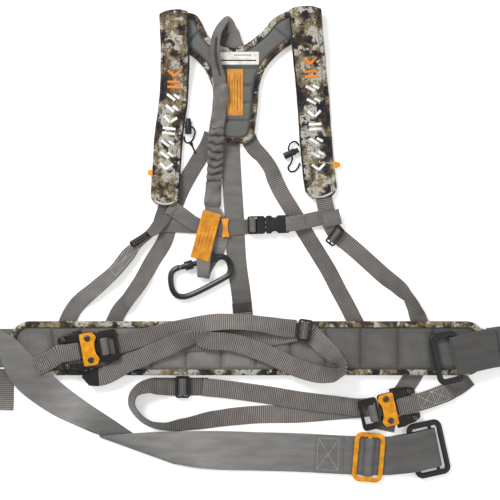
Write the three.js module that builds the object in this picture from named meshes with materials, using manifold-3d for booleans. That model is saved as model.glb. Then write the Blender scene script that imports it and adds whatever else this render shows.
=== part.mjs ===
// Safety harness vest laid flat, in millimetres, +Z up.
// The origin is the middle of the waist belt's outer webbing, on the surface that the vest lies on.
import * as THREE from 'three';
import { mergeVertices } from 'three/addons/utils/BufferGeometryUtils.js';
import Module from 'manifold-3d';

const wasm = await Module();
wasm.setup();

// Driving dimensions
const WEB = { leg: 25, cross: 22, side: 23, back: 27, chest: 20.6, wide: 54, tether: 24 };
const WEB_THICK = 1.4;
const WIDE_THICK = 1.6;
const GAP = 0.4;
const BELT = { left: -312, right: 351, top: 38, bottom: -37.5, base: 3.9, height: 10, edge: 8 };
const YOKE = { base: 2.6, height: 9, edge: 8 };
const PAD_THICK = 9;
const LINING = 1.4;
const BUCKLE = { half: 23, plate: 11.5, rivet: 15.3, pivot: [-33, 19], male: [13, 40] };

const COLOURS = {
  camo: ['#8d8570', 0.9, 0],
  lining: ['#63645f', 0.95, 0],
  webbing: ['#6b6762', 0.85, 0],
  wide: ['#605e5a', 0.8, 0],
  light: ['#8e8b88', 0.85, 0],
  orange: ['#d08f1a', 0.5, 0.2],
  cloth: ['#cb8f43', 0.8, 0],
  black: ['#353537', 0.5, 0],
  steel: ['#2a2624', 0.35, 0.9],
  cord: ['#1c1c1d', 0.8, 0],
};

const group = new THREE.Group();

function add(name, geometry, colour, parent = group) {
  const [color, roughness, metalness] = COLOURS[colour];
  const material = new THREE.MeshStandardMaterial({ color, roughness, metalness });
  const mesh = new THREE.Mesh(geometry, material);
  mesh.name = name;
  parent.add(mesh);
  return mesh;
}

// Solids and booleans
function solid(geometry) {
  const bare = geometry.clone();
  bare.deleteAttribute('normal');
  bare.deleteAttribute('uv');
  const merged = mergeVertices(bare, 1e-4);
  const vertProperties = new Float32Array(merged.attributes.position.array);
  const triVerts = new Uint32Array(merged.index.array);
  return new wasm.Manifold(new wasm.Mesh({ numProp: 3, vertProperties, triVerts }));
}

function geometryOf(body) {
  const mesh = body.getMesh();
  const geometry = new THREE.BufferGeometry();
  geometry.setAttribute('position', new THREE.BufferAttribute(mesh.vertProperties, 3));
  geometry.setIndex(new THREE.BufferAttribute(mesh.triVerts, 1));
  return geometry;
}

function cut(geometry, ...tools) {
  return geometryOf(tools.reduce((body, tool) => body.subtract(solid(tool)), solid(geometry)));
}

function join(geometry, ...others) {
  return geometryOf(others.reduce((body, other) => body.add(solid(other)), solid(geometry)));
}

function box(x0, x1, y0, y1, z0, z1) {
  const geometry = new THREE.BoxGeometry(x1 - x0, y1 - y0, z1 - z0);
  return geometry.translate((x0 + x1) / 2, (y0 + y1) / 2, (z0 + z1) / 2);
}

function post(x, y, radius, z0, z1, sides = 12) {
  const geometry = new THREE.CylinderGeometry(radius, radius, z1 - z0, sides);
  return geometry.rotateX(Math.PI / 2).translate(x, y, (z0 + z1) / 2);
}

function slab(points, z0, z1, curveSegments = 4) {
  const isShape = points instanceof THREE.Shape;
  const shape = isShape ? points : new THREE.Shape(points.map(([x, y]) => new THREE.Vector2(x, y)));
  const settings = { depth: z1 - z0, bevelEnabled: false, curveSegments };
  return new THREE.ExtrudeGeometry(shape, settings).translate(0, 0, z0);
}

function roundedRect(length, width, radius) {
  const x = length / 2;
  const y = width / 2;
  const shape = new THREE.Shape();
  shape.moveTo(-x + radius, -y);
  shape.lineTo(x - radius, -y);
  shape.absarc(x - radius, -y + radius, radius, -Math.PI / 2, 0);
  shape.lineTo(x, y - radius);
  shape.absarc(x - radius, y - radius, radius, 0, Math.PI / 2);
  shape.lineTo(-x + radius, y);
  shape.absarc(-x + radius, y - radius, radius, Math.PI / 2, Math.PI);
  shape.lineTo(-x, -y + radius);
  shape.absarc(-x + radius, -y + radius, radius, Math.PI, Math.PI * 1.5);
  return shape;
}

// A closed outline through the points, as a smooth curve, moved inwards by inset
function outline(points, inset, steps) {
  const curve = new THREE.CatmullRomCurve3(
    points.map(([x, y]) => new THREE.Vector3(x, y, 0)), true, 'centripetal');
  return Array.from({ length: steps }, (_, i) => {
    const at = curve.getPointAt(i / steps);
    const tangent = curve.getTangentAt(i / steps);
    return [at.x - tangent.y * inset, at.y + tangent.x * inset];
  });
}

// Webbing: a flat band along a route of [x, y, centre height, twist in degrees, width]
const UP = new THREE.Vector3(0, 0, 1);
const FLAT_TO_STEEP = [0.15, 0.5];

// A band that would dip below the surface it lies on is lifted onto it
function bandStations(route, width, thickness, perSpan) {
  const curve = new THREE.CatmullRomCurve3(
    route.map(([x, y, z]) => new THREE.Vector3(x, y, z)), false, 'centripetal');
  const spans = route.length - 1;
  const stations = [];
  let across = null;
  for (let i = 0; i <= spans * perSpan; i += 1) {
    const at = i / (spans * perSpan);
    const span = Math.min(Math.floor(i / perSpan), spans - 1);
    const part = i / perSpan - span;
    const tangent = curve.getTangent(at).normalize();
    const level = new THREE.Vector3().crossVectors(UP, tangent);
    const flat = level.length();
    if (flat > 1e-6) level.normalize();
    if (across) {
      if (level.dot(across) < 0) level.negate();
      const carried = across.clone().addScaledVector(tangent, -across.dot(tangent)).normalize();
      const [low, high] = FLAT_TO_STEEP;
      const share = THREE.MathUtils.clamp((flat - low) / (high - low), 0, 1);
      level.lerpVectors(carried, level, share).normalize();
    }
    across = level.clone();
    const mixed = (k, plain) => THREE.MathUtils.lerp(
      route[span][k] ?? plain, route[span + 1][k] ?? plain, part * part * (3 - 2 * part));
    const turned = level.applyAxisAngle(tangent, THREE.MathUtils.degToRad(mixed(3, 0)));
    const normal = new THREE.Vector3().crossVectors(tangent, turned);
    const wide = mixed(4, width);
    const centre = curve.getPoint(at);
    const lowest = centre.z - Math.abs(turned.z) * wide / 2 - Math.abs(normal.z) * thickness / 2;
    centre.z += Math.max(0, -lowest);
    stations.push({ centre, turned, normal, width: wide });
  }
  return stations;
}

function band(route, width, thickness = WEB_THICK, perSpan = 3) {
  const corners = [[-1, -1], [1, -1], [1, 1], [-1, 1]];
  const stations = bandStations(route, width, thickness, perSpan);
  const position = [];
  for (const { centre, turned, normal, width: wide } of stations) {
    for (const [side, face] of corners) {
      const corner = centre.clone().addScaledVector(turned, side * wide / 2);
      position.push(...corner.addScaledVector(normal, face * thickness / 2).toArray());
    }
  }
  const index = [];
  for (let i = 0; i + 1 < stations.length; i += 1) {
    for (let k = 0; k < 4; k += 1) {
      const a = i * 4 + k;
      const b = i * 4 + (k + 1) % 4;
      index.push(a, b, b + 4, a, b + 4, a + 4);
    }
  }
  const last = (stations.length - 1) * 4;
  index.push(0, 3, 2, 0, 2, 1, last, last + 1, last + 2, last, last + 2, last + 3);
  const geometry = new THREE.BufferGeometry();
  geometry.setAttribute('position', new THREE.Float32BufferAttribute(position, 3));
  geometry.setIndex(index);
  return geometry;
}

function rod(points, radius, steps) {
  const path = new THREE.CatmullRomCurve3(points.map((p) => new THREE.Vector3(...p)), false, 'centripetal');
  const section = new THREE.Shape();
  section.absarc(0, 0, radius, 0, Math.PI * 2);
  const settings = { extrudePath: path, steps, bevelEnabled: false, curveSegments: 4 };
  return new THREE.ExtrudeGeometry(section, settings);
}

// Back yoke: a Y-shaped pad whose arms run out under the shoulder pads
const YOKE_OUTLINE = [
  [-2, 419], [-20, 424], [-35, 435], [-53, 465], [-76, 468], [-96, 462], [-97, 440], [-80, 420],
  [-53, 403], [-38, 383], [-30, 362], [-29, 340], [-32, 314], [-29, 294], [-14, 287], [14, 286],
  [26, 293], [30, 310], [33, 335], [36, 368], [46, 393], [66, 414], [92, 432], [108, 448],
  [104, 466], [84, 472], [58, 462], [37, 440], [14, 423],
];
const YOKE_STEPS = 72;

function makeYoke() {
  const { base, height, edge } = YOKE;
  const core = outline(YOKE_OUTLINE, edge, YOKE_STEPS);
  const rim = outline(YOKE_OUTLINE, edge - GAP, YOKE_STEPS);
  const outer = slab(outline(YOKE_OUTLINE, 0, YOKE_STEPS), base, base + height);
  const top = base + height - LINING;
  add('back_pad', slab(core, base, top - GAP), 'camo');
  add('back_lining', slab(core, top, base + height), 'lining');
  add('back_binding', cut(outer, slab(rim, base - 1, base + height + 1)), 'camo');
}

const SHOULDERS = {
  left: {
    route: [[-84, 469, 17], [-83, 440, 17], [-82, 410, 16.8], [-83, 375, 9], [-85, 345, 4.6],
      [-91, 300, 4.6], [-94, 258, 5.6], [-95, 240, 6.6], [-96.5, 208, 10.4]],
    width: 40,
  },
  right: {
    route: [[99, 474, 17], [101, 446, 17], [104, 415, 16.8], [108, 376, 9], [111, 346, 4.6],
      [114, 300, 4.6], [119, 244, 5], [123, 216, 8]],
    width: 45,
  },
};

function beltOutline(inset) {
  const { left, right, top, bottom } = BELT;
  const shape = roundedRect(right - left - inset * 2, top - bottom - inset * 2, 28 - inset);
  const place = [(left + right) / 2, (top + bottom) / 2];
  return shape.getPoints(5).map((point) => [point.x + place[0], point.y + place[1]]);
}

function makeBelt() {
  const { base, height, edge } = BELT;
  const top = base + height - LINING;
  add('belt_pad', slab(beltOutline(edge), base, top - GAP), 'camo');
  add('belt_lining', slab(beltOutline(edge), top, base + height), 'lining');
  const rim = slab(beltOutline(edge - GAP), base - 1, base + height + 1);
  add('belt_binding', cut(slab(beltOutline(0), base, base + height), rim), 'camo');
}

// Routes of the webbing: [x, y, height of its middle, twist, width]
const HALF = WEB_THICK / 2;
const UNDER_BELT = 2.75;
const ROUTES = {
  back_strap: [[-5, 300, 1.2], [-5, 276, 1], [0, 190, HALF], [4, 120, HALF], [10, 75, HALF],
    [12, 55, 1], [13, 38, 2.4], [13, 20, UNDER_BELT]],
  cross_strap_left: [[-31, 300, 1.2], [-38, 282, 1], [-50, 263, HALF], [-73, 222, HALF],
    [-87, 186, HALF], [-97, 150, HALF], [-114, 122, HALF], [-131, 92, 2.6, 14],
    [-148, 68, 4.2, 26], [-161, 51, 2.2, 2], [-169, 34, UNDER_BELT], [-174, 20, UNDER_BELT]],
  cross_strap_right: [[19, 297, 1.2], [27, 281, 1.2, 6], [40, 267, 3.8, 28], [51, 251, 3.4, 26],
    [58, 234, 1.2, 6], [67, 216, HALF], [80, 195, HALF], [105, 153, HALF], [132, 109, HALF],
    [146, 82, HALF], [158, 60, 1], [167, 42, 2.4], [176, 24, UNDER_BELT]],
  side_strap_left: [[-94, 199, 4.7], [-98, 186, 5.1], [-107, 170, 4.9], [-122, 156, 3.4],
    [-140, 141, 1.8], [-152, 119, 1], [-169, 100, HALF], [-197, 77, HALF], [-216, 58, 1],
    [-228, 40, 2.4], [-238, 22, UNDER_BELT]],
  side_strap_right: [[126, 207, 4.7], [128, 196, 5.4], [132, 178, 5.6], [141, 162, 3.6],
    [154, 150, 1.4], [170, 137, HALF], [190, 119, HALF], [212, 99, HALF], [232, 83, 2.2, 14],
    [244, 70, 3.6, 26], [253, 54, 3, 8], [259, 40, 2.6], [265, 22, UNDER_BELT]],
  chest_strap_left: [[-91, 198, 7.8], [-73, 186.5, 7.4], [-54, 173, 5.4], [-36, 167.4, 3.4],
    [-18, 167, 2.9], [0, 168, 2.9], [20, 170, 2.9], [40, 171, 2.9]],
  chest_anchor_left: [[-51, 171, 2.9], [-62, 171, 2.9], [-84, 172, 2.9], [-112, 173, 2.9]],
  chest_strap_right: [[64, 173, 2.9], [84, 174, 2.9], [104, 178, 2.9], [124, 182.6, 2.9],
    [142, 186, 3], [150.6, 187.2, 5.6], [142, 186, 8.4], [124, 182.6, 8.2], [110, 179.6, 6.4],
    [98, 176.8, 4.7]],
  tether: [[-2, 396, 1.2, 0, 28], [-2, 420, 1.2, 0, 28], [-5, 446, 1.2, 0, 26],
    [-8, 458, 3, 0, 24], [-11, 458, 8, 0, 22], [-18, 450, 14, 12, 20], [-24, 438, 18, 30, 19],
    [-24, 415, 19, 42, 18], [-20, 395, 18.4, 36, 18], [-18, 378, 16, 14, 22],
    [-20, 360, 14, 0, 24], [-22, 330, 13.8, 0, 20], [-24, 308, 15.2, 0, 17],
    [-25, 290, 15.6, 0, 17], [-26, 268, 9, 0, 17], [-27, 245, 5.4, 0, 17],
    [-29, 215, 4.8, 0, 18], [-30, 196, 5, 0, 21]],
  tether_cover: [[-24, 306, 15.8], [-25, 290, 16], [-26, 268, 9.4], [-27, 245, 5.6],
    [-29, 217, 5]],
  tether_loop: [[-27, 191, 5.2], [-22, 178, 6.8], [-19, 165, 7.2], [-18, 149, 7], [-20, 136, 3],
    [-26, 124, 0.9], [-35, 110, 0.9, 0, 18], [-40, 103, 1.8, 0, 17], [-41.8, 100.4, 4.2, 0, 17],
    [-42.4, 99.6, 7.6, 0, 17], [-42.6, 101.2, 11, 0, 17], [-42.6, 106, 12.8, 0, 17],
    [-42.6, 114, 13.2, 0, 18], [-42, 126, 12.8, 0, 20], [-39, 146, 10.4], [-35, 166, 9],
    [-31, 188, 8]],
  tether_tag: [[-48, 124, 14.4], [-43, 142, 12.6], [-38, 162, 11], [-30.5, 190, 9.6]],
  leg_strap_left: [[-182, 3, 15.1], [-160, 5, 15.1], [-128, 7, 15.1], [-92, 8, 15.1],
    [-50, 9, 15.4], [-10, 11, 15.2], [40, 15, 15.2], [66, 19, 16], [90, 24, 17.6, -12],
    [103, 24, 19, -16], [116, 10, 18.6, -8], [128, -6, 18], [144, -16, 18.6, 10],
    [154, -24, 21.4, 24], [146, -35, 23, 20], [122, -37, 22, 8], [87, -26, 20.6, 0],
    [41, -5, 20, 0], [-6, 10, 20, 4], [-36, 12, 24, -6], [-52, 17, 27.6, -44],
    [-70, 13, 26, -24], [-92, 3, 22, 4], [-118, -7.8, 18.8, 0], [-131, -14, 17.3, 0],
    [-146, -19, 17.2, 0], [-166, -31, 16.2, 0], [-180, -39, 15.6, 0]],
  leg_strap_left_top: [[-182, 3, 16.9], [-160, 6, 16.9], [-128, 15, 17], [-100, 22, 17.2],
    [-60, 31, 18.6, -14], [-30, 36.8, 20.4, -24], [0, 38, 21.6, -34], [36, 35, 21, -32],
    [66, 30, 20.6, -10], [86, 28, 21.2, 0]],
  leg_strap_right: [[194, -82, 2.7], [174, -85, 2.5], [140, -88, 1.4], [92, -92, HALF],
    [34, -93, HALF], [-10, -96, HALF], [-50, -99, 2.4, -16], [-80, -102, 6, -40],
    [-108, -100, 9, -58], [-130, -92, 9, -52], [-143, -80, 7.4, -34], [-140, -63, 9, -44],
    [-127, -54, 11, -64], [-112, -51, 6.6, -36], [-96, -53, 2, -8], [-72, -54, HALF],
    [-48, -54, HALF]],
  leg_strap_right_top: [[194, -81, 4.5], [174, -82.6, 4.4], [140, -79, 3.6], [92, -73, 2.9],
    [50, -66, 2.9], [15, -61, 2.9], [-16, -57, 2.9], [-44, -54.5, 2.9]],
  leg_riser_right: [[256, -29, UNDER_BELT], [250, -40, 1.4], [238, -58, HALF], [225, -76, HALF],
    [216, -96, HALF], [212, -116, HALF]],
  waist_strap: [[-326, 0, 0.8], [-340, 0, 1], [-352, -4, 3], [-358, -14, 8], [-354, -24, 15],
    [-340, -34, 19.6], [-322, -36, 21], [-304, -40, 20.6], [-288, -50, 18], [-268, -64, 13],
    [-244, -80, 5], [-209, -101, 2.6, -8], [-174, -120, 5.4, -26], [-139, -131, 3.4, -12],
    [-97, -139, 3.4], [-48, -142, 3.4], [22, -144, 3], [92, -146, 3], [150, -149, 3.2],
    [190, -150.5, 3.4], [216, -150.4, 3.6], [228, -149, 5.2], [239, -147.4, 9],
    [250, -145, 12.2], [263, -142.2, 12.2], [274, -139.8, 10.6], [281.4, -138.1, 8.9],
    [284.8, -137.4, 5.2], [281.4, -138.1, 1.4], [272, -140.2, 0.8], [250, -145, 0.8],
    [226, -149.4, 0.8]],
  ring_webbing: [[356, 1, 0.8], [368, 2.6, 1], [379, 4.6, 3.6], [382, 5.2, 9], [376, 4.2, 14.4],
    [360, 1.6, 15.6], [330, -4.6, 15.5], [313, -8.3, 15.5], [306.8, -9.7, 17],
    [304.6, -10.2, 20.3], [306.8, -9.7, 23.6], [313, -8.3, 25.1], [330, -4.6, 24.2],
    [350, -0.4, 22], [366, 2.4, 21]],
};

const WEBBING = {
  back_strap: [WEB.back, 'webbing'],
  cross_strap_left: [WEB.cross, 'webbing'],
  cross_strap_right: [WEB.cross, 'webbing'],
  side_strap_left: [WEB.side, 'webbing'],
  side_strap_right: [WEB.side, 'webbing'],
  chest_strap_left: [WEB.chest, 'webbing'],
  chest_anchor_left: [WEB.chest, 'webbing'],
  chest_strap_right: [WEB.chest, 'webbing'],
  tether: [WEB.tether, 'webbing'],
  tether_loop: [WEB.chest, 'light'],
  leg_strap_left: [WEB.leg, 'webbing'],
  leg_strap_left_top: [WEB.leg, 'webbing'],
  leg_strap_right: [WEB.leg, 'webbing'],
  leg_strap_right_top: [WEB.leg, 'webbing'],
  leg_riser_right: [WEB.leg, 'light'],
};

function makeWebbing() {
  for (const [name, [width, colour]] of Object.entries(WEBBING)) {
    add(name, band(ROUTES[name], width), colour);
  }
  add('waist_strap', band(ROUTES.waist_strap, WEB.wide, WIDE_THICK), 'wide');
  add('ring_webbing', band(ROUTES.ring_webbing, WEB.wide, WIDE_THICK, 2), 'wide');
  add('belt_webbing', box(-322, 350, -27, 27, 0, WIDE_THICK), 'wide');
  const cover = band(ROUTES.tether_cover, 22, 7);
  const ends = ROUTES.tether_cover.slice();
  ends[0] = [-23.6, 312, 15.8];
  ends[ends.length - 1] = [-29.2, 212, 5];
  add('tether_cover', cut(cover, band(ends, 19, 4)), 'webbing');
  add('tether_tag', band(ROUTES.tether_tag, 26, 0.8), 'cloth');
}

// A turned and raised place for a piece of hardware
function place(x, y, z, degrees, tilt = 0) {
  const holder = new THREE.Group();
  holder.position.set(x, y, z);
  holder.rotation.set(0, THREE.MathUtils.degToRad(tilt), THREE.MathUtils.degToRad(degrees), 'ZYX');
  group.add(holder);
  return holder;
}

// A flat bar frame with one or two windows, long side across the strap
function barFrame(length, width, bar, thick, middle = null, middleBar = bar) {
  const frame = slab(roundedRect(length, width, bar * 0.8), -thick / 2, thick / 2);
  const y = width / 2 - bar;
  const x = length / 2 - bar;
  if (middle === null) return cut(frame, box(-x, x, -y, y, -thick, thick));
  const left = box(-x, middle - middleBar / 2, -y, y, -thick, thick);
  const right = box(middle + middleBar / 2, x, -y, y, -thick, thick);
  return cut(frame, left, right);
}

const FRAMES = {
  tri_glide_left: { at: [-131, 152, 13.4, -59, 62], size: [15, 29, 2.6, 2.4, 0], colour: 'black' },
  tri_glide_right: { at: [141, 157, 7.8, -36.6, 0], size: [15, 29, 2.6, 2.4, 0], colour: 'black' },
  leg_slider_left: { at: [98, 26, 24.4, -8, 0], size: [20, 31, 3, 2.6, 0], colour: 'black' },
  leg_slider_right: { at: [-71.5, -54, 5.6, 0, 0], size: [21, 31, 3, 2.6, 0], colour: 'black' },
  waist_adjuster: { at: [188, -152, 6.25, -5, 0], size: [43, 69, 6.6, 3, 0], colour: 'orange' },
  waist_end_frame: { at: [271.5, -140.4, 5.15, 12.5, 0], size: [50, 78, 8, 4.4, 7.7, 5], colour: 'black' },
};

function makeFrames() {
  for (const [name, { at, size, colour }] of Object.entries(FRAMES)) {
    add(name, barFrame(...size), colour, place(...at));
  }
  // The belt ring's wrapped bar is slimmer than its three others
  const ring = slab(roundedRect(41, 73, 7), -2.2, 2.2);
  const window = box(-11.5, 13, -28.4, 28.4, -5, 5);
  const relief = box(18, 30, -28.4, 28.4, -5, 5);
  add('belt_ring', cut(ring, window, relief), 'black', place(296.3, -12, 20.3, 12.5));
}

// Chest buckle: a side-release pair, along local x
function makeChestBuckle() {
  const at = [48, 172.5, 3.9, 2];
  const shell = slab(roundedRect(33, 25, 3), 0, 9);
  shell.translate(13, 0, 0);
  const cavity = box(-5, 22, -10.2, 10.2, 2, 7);
  const windows = box(5, 17, -14, 14, 2.8, 6.2);
  const slot = box(24.5, 26.8, -10.5, 10.5, -1, 10);
  add('chest_buckle_female', cut(shell, cavity, windows, slot), 'black', place(...at));
  const base = slab(roundedRect(24, 25, 3), 0, 9);
  base.translate(-17, 0, 0);
  const arms = [-1, 1].map((side) => {
    const [low, high] = [side * 5.4, side * 9.4].sort((a, b) => a - b);
    return box(-6, 20, low, high, 2.8, 6.2);
  });
  const tongue = box(-6, 18, -1.6, 1.6, 2.8, 6.2);
  const male = join(base, ...arms, tongue);
  const slots = [[-26.5, -23.6], [-20.6, -16]].map(([x0, x1]) => box(x0, x1, -10.5, 10.5, -1, 10));
  add('chest_buckle_male', cut(male, ...slots), 'black', place(...at));
  const keeper = new THREE.Shape();
  keeper.moveTo(-5, -13);
  keeper.lineTo(5, -13);
  keeper.quadraticCurveTo(1.5, 0, 5, 13);
  keeper.lineTo(-5, 13);
  keeper.quadraticCurveTo(-1.5, 0, -5, -13);
  add('chest_keeper', slab(keeper, 0, 1.8), 'orange', place(-12, 168, 3.9, 2));
}

// Quick-connect buckle in its own frame: x runs from the tab end to the strap end
function hourglass(halfLength, halfWidth, waist) {
  const shape = new THREE.Shape();
  shape.moveTo(-halfLength, -halfWidth);
  shape.lineTo(halfLength, -halfWidth);
  shape.quadraticCurveTo(halfLength - waist, 0, halfLength, halfWidth);
  shape.lineTo(-halfLength, halfWidth);
  shape.lineTo(-halfLength, -halfWidth);
  return shape;
}

const LEVER = [
  [-38, 15], [-30, 14.5], [-14, 15.5], [-5, 11.5], [-5, 21], [-12, 25], [-30, 24.5], [-38, 22],
];
const TONGUE = [[-13, -8], [-8, -9.4], [-8, -6], [14, -6], [14, 6], [-8, 6], [-8, 9.4], [-13, 8]];

function makeQuickConnect(side, at) {
  const { half, plate, rivet, pivot, male } = BUCKLE;
  const holder = place(...at);
  const rails = slab(roundedRect(54, half * 2, 5), 2, 4).translate(-15, 0, 0);
  const window = box(-50, -23, -13.2, 13.2, 0, 6);
  const front = box(-16.5, -12, -13.2, 13.2, 0, 6);
  const posts = [-1, 1].flatMap((way) => [
    post(0, way * rivet, 3, 3.5, 8.6),
    post(pivot[0], way * pivot[1], 2.2, 3.5, 9.4),
    post(pivot[0], way * pivot[1], 3.4, 8.8, 10),
  ]);
  add(`buckle_${side}_base`, join(cut(rails, window, front), ...posts), 'steel', holder);
  const cover = slab(hourglass(plate, half, 5), 8.9, 10.9);
  const heads = [-1, 1].map((way) => post(0, way * rivet, 4.5, 10.5, 12.4));
  add(`buckle_${side}_cover`, join(cover, ...heads), 'orange', holder);
  for (const [way, edge] of [[1, 'upper'], [-1, 'lower']]) {
    const turned = LEVER.map(([x, y]) => [x, y * way]);
    const lever = slab(way > 0 ? turned : turned.reverse(), 4.4, 8.4);
    const hole = post(pivot[0], pivot[1] * way, 2.6, 0, 12);
    add(`buckle_${side}_lever_${edge}`, cut(lever, hole), 'black', holder);
  }
  const frame = slab(roundedRect(male[1] - male[0], 44, 5), 4, 9.6).translate((male[0] + male[1]) / 2, 0, 0);
  const behind = box(male[0] + 3.4, 18.4, -13.2, 13.2, 0, 12);
  const ahead = box(24.4, male[1] - 5, -13.2, 13.2, 0, 12);
  const tongue = slab(TONGUE, 4.8, 7.8);
  add(`buckle_${side}_male`, join(cut(frame, behind, ahead), tongue), 'steel', holder);
  const tab = [[-76, 0, 0.9], [-50, 0, 0.9], [-22, 0, 0.9], [-15, 0, 1], [-13.4, 0, 3.2], [-15, 0, 5.4],
    [-21, 0, 5.6], [-32, 0, 5.2], [-44, 0, 3.4], [-56, 0, 2.7], [-76, 0, 2.7]];
  add(`leg_tab_${side}`, band(tab, WEB.leg, WEB_THICK, 2), 'webbing', holder);
}

// Carabiner: a bent bar, a gate that swings inwards and a locking sleeve
const HOOK = {
  height: 7,
  bar: 4.1,
  corners: [[-75.2, 112.9], [-88.3, 109.4], [-87.4, 60.3], [-3, 104], [-9, 131], [-24, 126.4]],
  radii: [0, 12, 20, 12, 12, 0],
  hinge: [-30.8, 124.6],
  degrees: 195.2,
};

function filleted(corners, radii, arcSteps = 4) {
  const vectors = corners.map(([x, y]) => new THREE.Vector2(x, y));
  const points = [];
  vectors.forEach((corner, i) => {
    if (!radii[i]) {
      points.push(corner);
      return;
    }
    const before = vectors[i - 1].clone().sub(corner).normalize();
    const after = vectors[i + 1].clone().sub(corner).normalize();
    const reach = radii[i] / Math.tan(Math.acos(before.dot(after)) / 2);
    const start = corner.clone().addScaledVector(before, reach);
    const end = corner.clone().addScaledVector(after, reach);
    const chord = start.clone().add(end).multiplyScalar(0.5);
    const curve = new THREE.QuadraticBezierCurve(start, corner.clone().lerp(chord, 0.14), end);
    points.push(...curve.getPoints(arcSteps));
  });
  return points;
}

function makeCarabiner() {
  const { height, bar, corners, radii, hinge, degrees } = HOOK;
  const spine = filleted(corners, radii).map((point) => [point.x, point.y, height]);
  const local = (geometry) => geometry
    .rotateZ(THREE.MathUtils.degToRad(degrees)).translate(hinge[0], hinge[1], height);
  const fork = local(box(-10, 5, -5, 5, -4, 4));
  const forkSlot = local(box(-5, 9, -7, 7, -2.4, 2.4));
  const pin = local(post(0, 0, 1.4, -3.4, 3.4));
  const body = join(cut(join(rod(spine, bar, 44), fork), forkSlot), pin);
  add('carabiner_body', body, 'black');
  const barrel = new THREE.CylinderGeometry(3.7, 3.7, 38.6, 12).rotateZ(Math.PI / 2).translate(26, 0, 0);
  const tongue = box(-3.6, 9, -3.4, 3.4, -2, 2);
  const hole = post(0, 0, 1.8, -5, 5);
  add('carabiner_gate', local(cut(join(barrel, tongue), hole)), 'black');
  const profile = [[4.6, 27.5], [6.5, 27.5], [6.5, 39], [4.6, 39], [4.6, 27.5]];
  const sleeve = new THREE.LatheGeometry(profile.map(([x, y]) => new THREE.Vector2(x, y)), 16);
  add('carabiner_sleeve', local(sleeve.rotateZ(-Math.PI / 2)), 'black');
}

// Elastic cords with a spring lock on each
const CORDS = {
  left: {
    lock: [-63.6, 309, 5.1, 90],
    route: [[-69, 309, 5.1], [-63.6, 309, 5.1], [-58.6, 309, 5], [-54.8, 304.6, 3.6], [-55.4, 297, 2],
      [-59, 290, 1.4], [-65, 287, 1.4], [-69, 290.6, 1.5], [-69.8, 296, 2.2]],
  },
  right: {
    lock: [79, 272, 5.1, 25],
    route: [[91.2, 283, 3.4], [86, 288.6, 3.6], [79.4, 286.4, 4.6], [76.2, 279, 5.1], [79, 272, 5.1],
      [81.4, 265.6, 5], [79.6, 258.6, 3.4], [75.8, 252.6, 1.8], [78.4, 247.2, 1.4], [84.4, 247.4, 1.4],
      [89.4, 252.4, 1.4], [92, 259, 1.8]],
  },
};
const CORD_RADIUS = 1.2;

function makeCords() {
  for (const [side, { lock, route }] of Object.entries(CORDS)) {
    const holder = place(...lock);
    const lying = (geometry) => geometry.rotateZ(-Math.PI / 2);
    const barrel = lying(new THREE.CylinderGeometry(4.7, 4.7, 17, 12)).translate(-1.5, 0, 0);
    const well = lying(new THREE.CylinderGeometry(3.9, 3.9, 18, 12)).translate(1.5, 0, 0);
    const through = box(-2.4, 2.4, -9, 9, -2, 2);
    add(`cord_lock_${side}`, cut(barrel, well, through), 'black', holder);
    const button = lying(new THREE.CylinderGeometry(3.5, 3.5, 14, 12)).translate(5, 0, 0);
    const path = box(-5, 5.4, -9, 9, -2, 2);
    add(`cord_button_${side}`, cut(button, path), 'black', holder);
    add(`elastic_cord_${side}`, rod(route, CORD_RADIUS, 26), 'cord');
  }
}

function makeLabels() {
  const top = YOKE.base + YOKE.height + 0.3;
  add('size_label', box(-10, 13, 324, 389, top, top + 0.5), 'cloth');
}

makeYoke();
makeBelt();
for (const [side, { route, width }] of Object.entries(SHOULDERS)) {
  add(`shoulder_pad_${side}`, band(route, width, PAD_THICK), 'camo');
}
makeWebbing();
makeFrames();
makeChestBuckle();
makeQuickConnect('left', [-200, 0, 14.2, 10]);
makeQuickConnect('right', [215, -85, 4, 193]);
makeCarabiner();
makeCords();
makeLabels();

export default group;
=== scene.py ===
"""Safety harness vest laid flat: the visible model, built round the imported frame."""
import math
import random

import bmesh
import bpy
import numpy as np
from mathutils import Matrix, Vector


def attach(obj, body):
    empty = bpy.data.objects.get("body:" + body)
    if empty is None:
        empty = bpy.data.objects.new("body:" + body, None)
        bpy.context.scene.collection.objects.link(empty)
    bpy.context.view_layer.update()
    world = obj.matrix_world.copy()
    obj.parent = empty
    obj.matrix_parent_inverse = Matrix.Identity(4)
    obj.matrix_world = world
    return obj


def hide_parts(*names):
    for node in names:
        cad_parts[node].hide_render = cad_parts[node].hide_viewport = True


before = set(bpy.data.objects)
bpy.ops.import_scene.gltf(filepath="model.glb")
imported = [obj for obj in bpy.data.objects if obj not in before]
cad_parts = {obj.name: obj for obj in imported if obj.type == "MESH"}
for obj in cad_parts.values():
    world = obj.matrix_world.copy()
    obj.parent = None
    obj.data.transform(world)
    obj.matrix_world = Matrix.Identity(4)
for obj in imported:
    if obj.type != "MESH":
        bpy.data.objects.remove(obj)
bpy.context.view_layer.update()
MM = 0.001
rng = random.Random(7)
scene = bpy.context.scene

# Camera, straight above
VIEW_CENTRE = (22.4, 137.2)
VIEW_WIDTH = 700.0
CAMERA_HEIGHT = 1900.0
camera_data = bpy.data.cameras.new("camera")
camera_data.sensor_width = 36.0
camera_data.lens = 36.0 * CAMERA_HEIGHT / VIEW_WIDTH
camera = bpy.data.objects.new("camera", camera_data)
camera.location = (VIEW_CENTRE[0] * MM, VIEW_CENTRE[1] * MM, CAMERA_HEIGHT * MM)
scene.collection.objects.link(camera)
scene.camera = camera


# ---------------------------------------------------------------- materials
def linear(*rgb):
    """An sRGB colour, 0 to 255, as linear values with alpha."""
    parts = [c / 255 for c in rgb]
    return tuple(c / 12.92 if c <= 0.04045 else ((c + 0.055) / 1.055) ** 2.4 for c in parts) + (1.0,)


def shaded(colour, share):
    """The colour, lighter or darker by a share, as linear values."""
    return linear(*[min(255, c * share) for c in colour])


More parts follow.
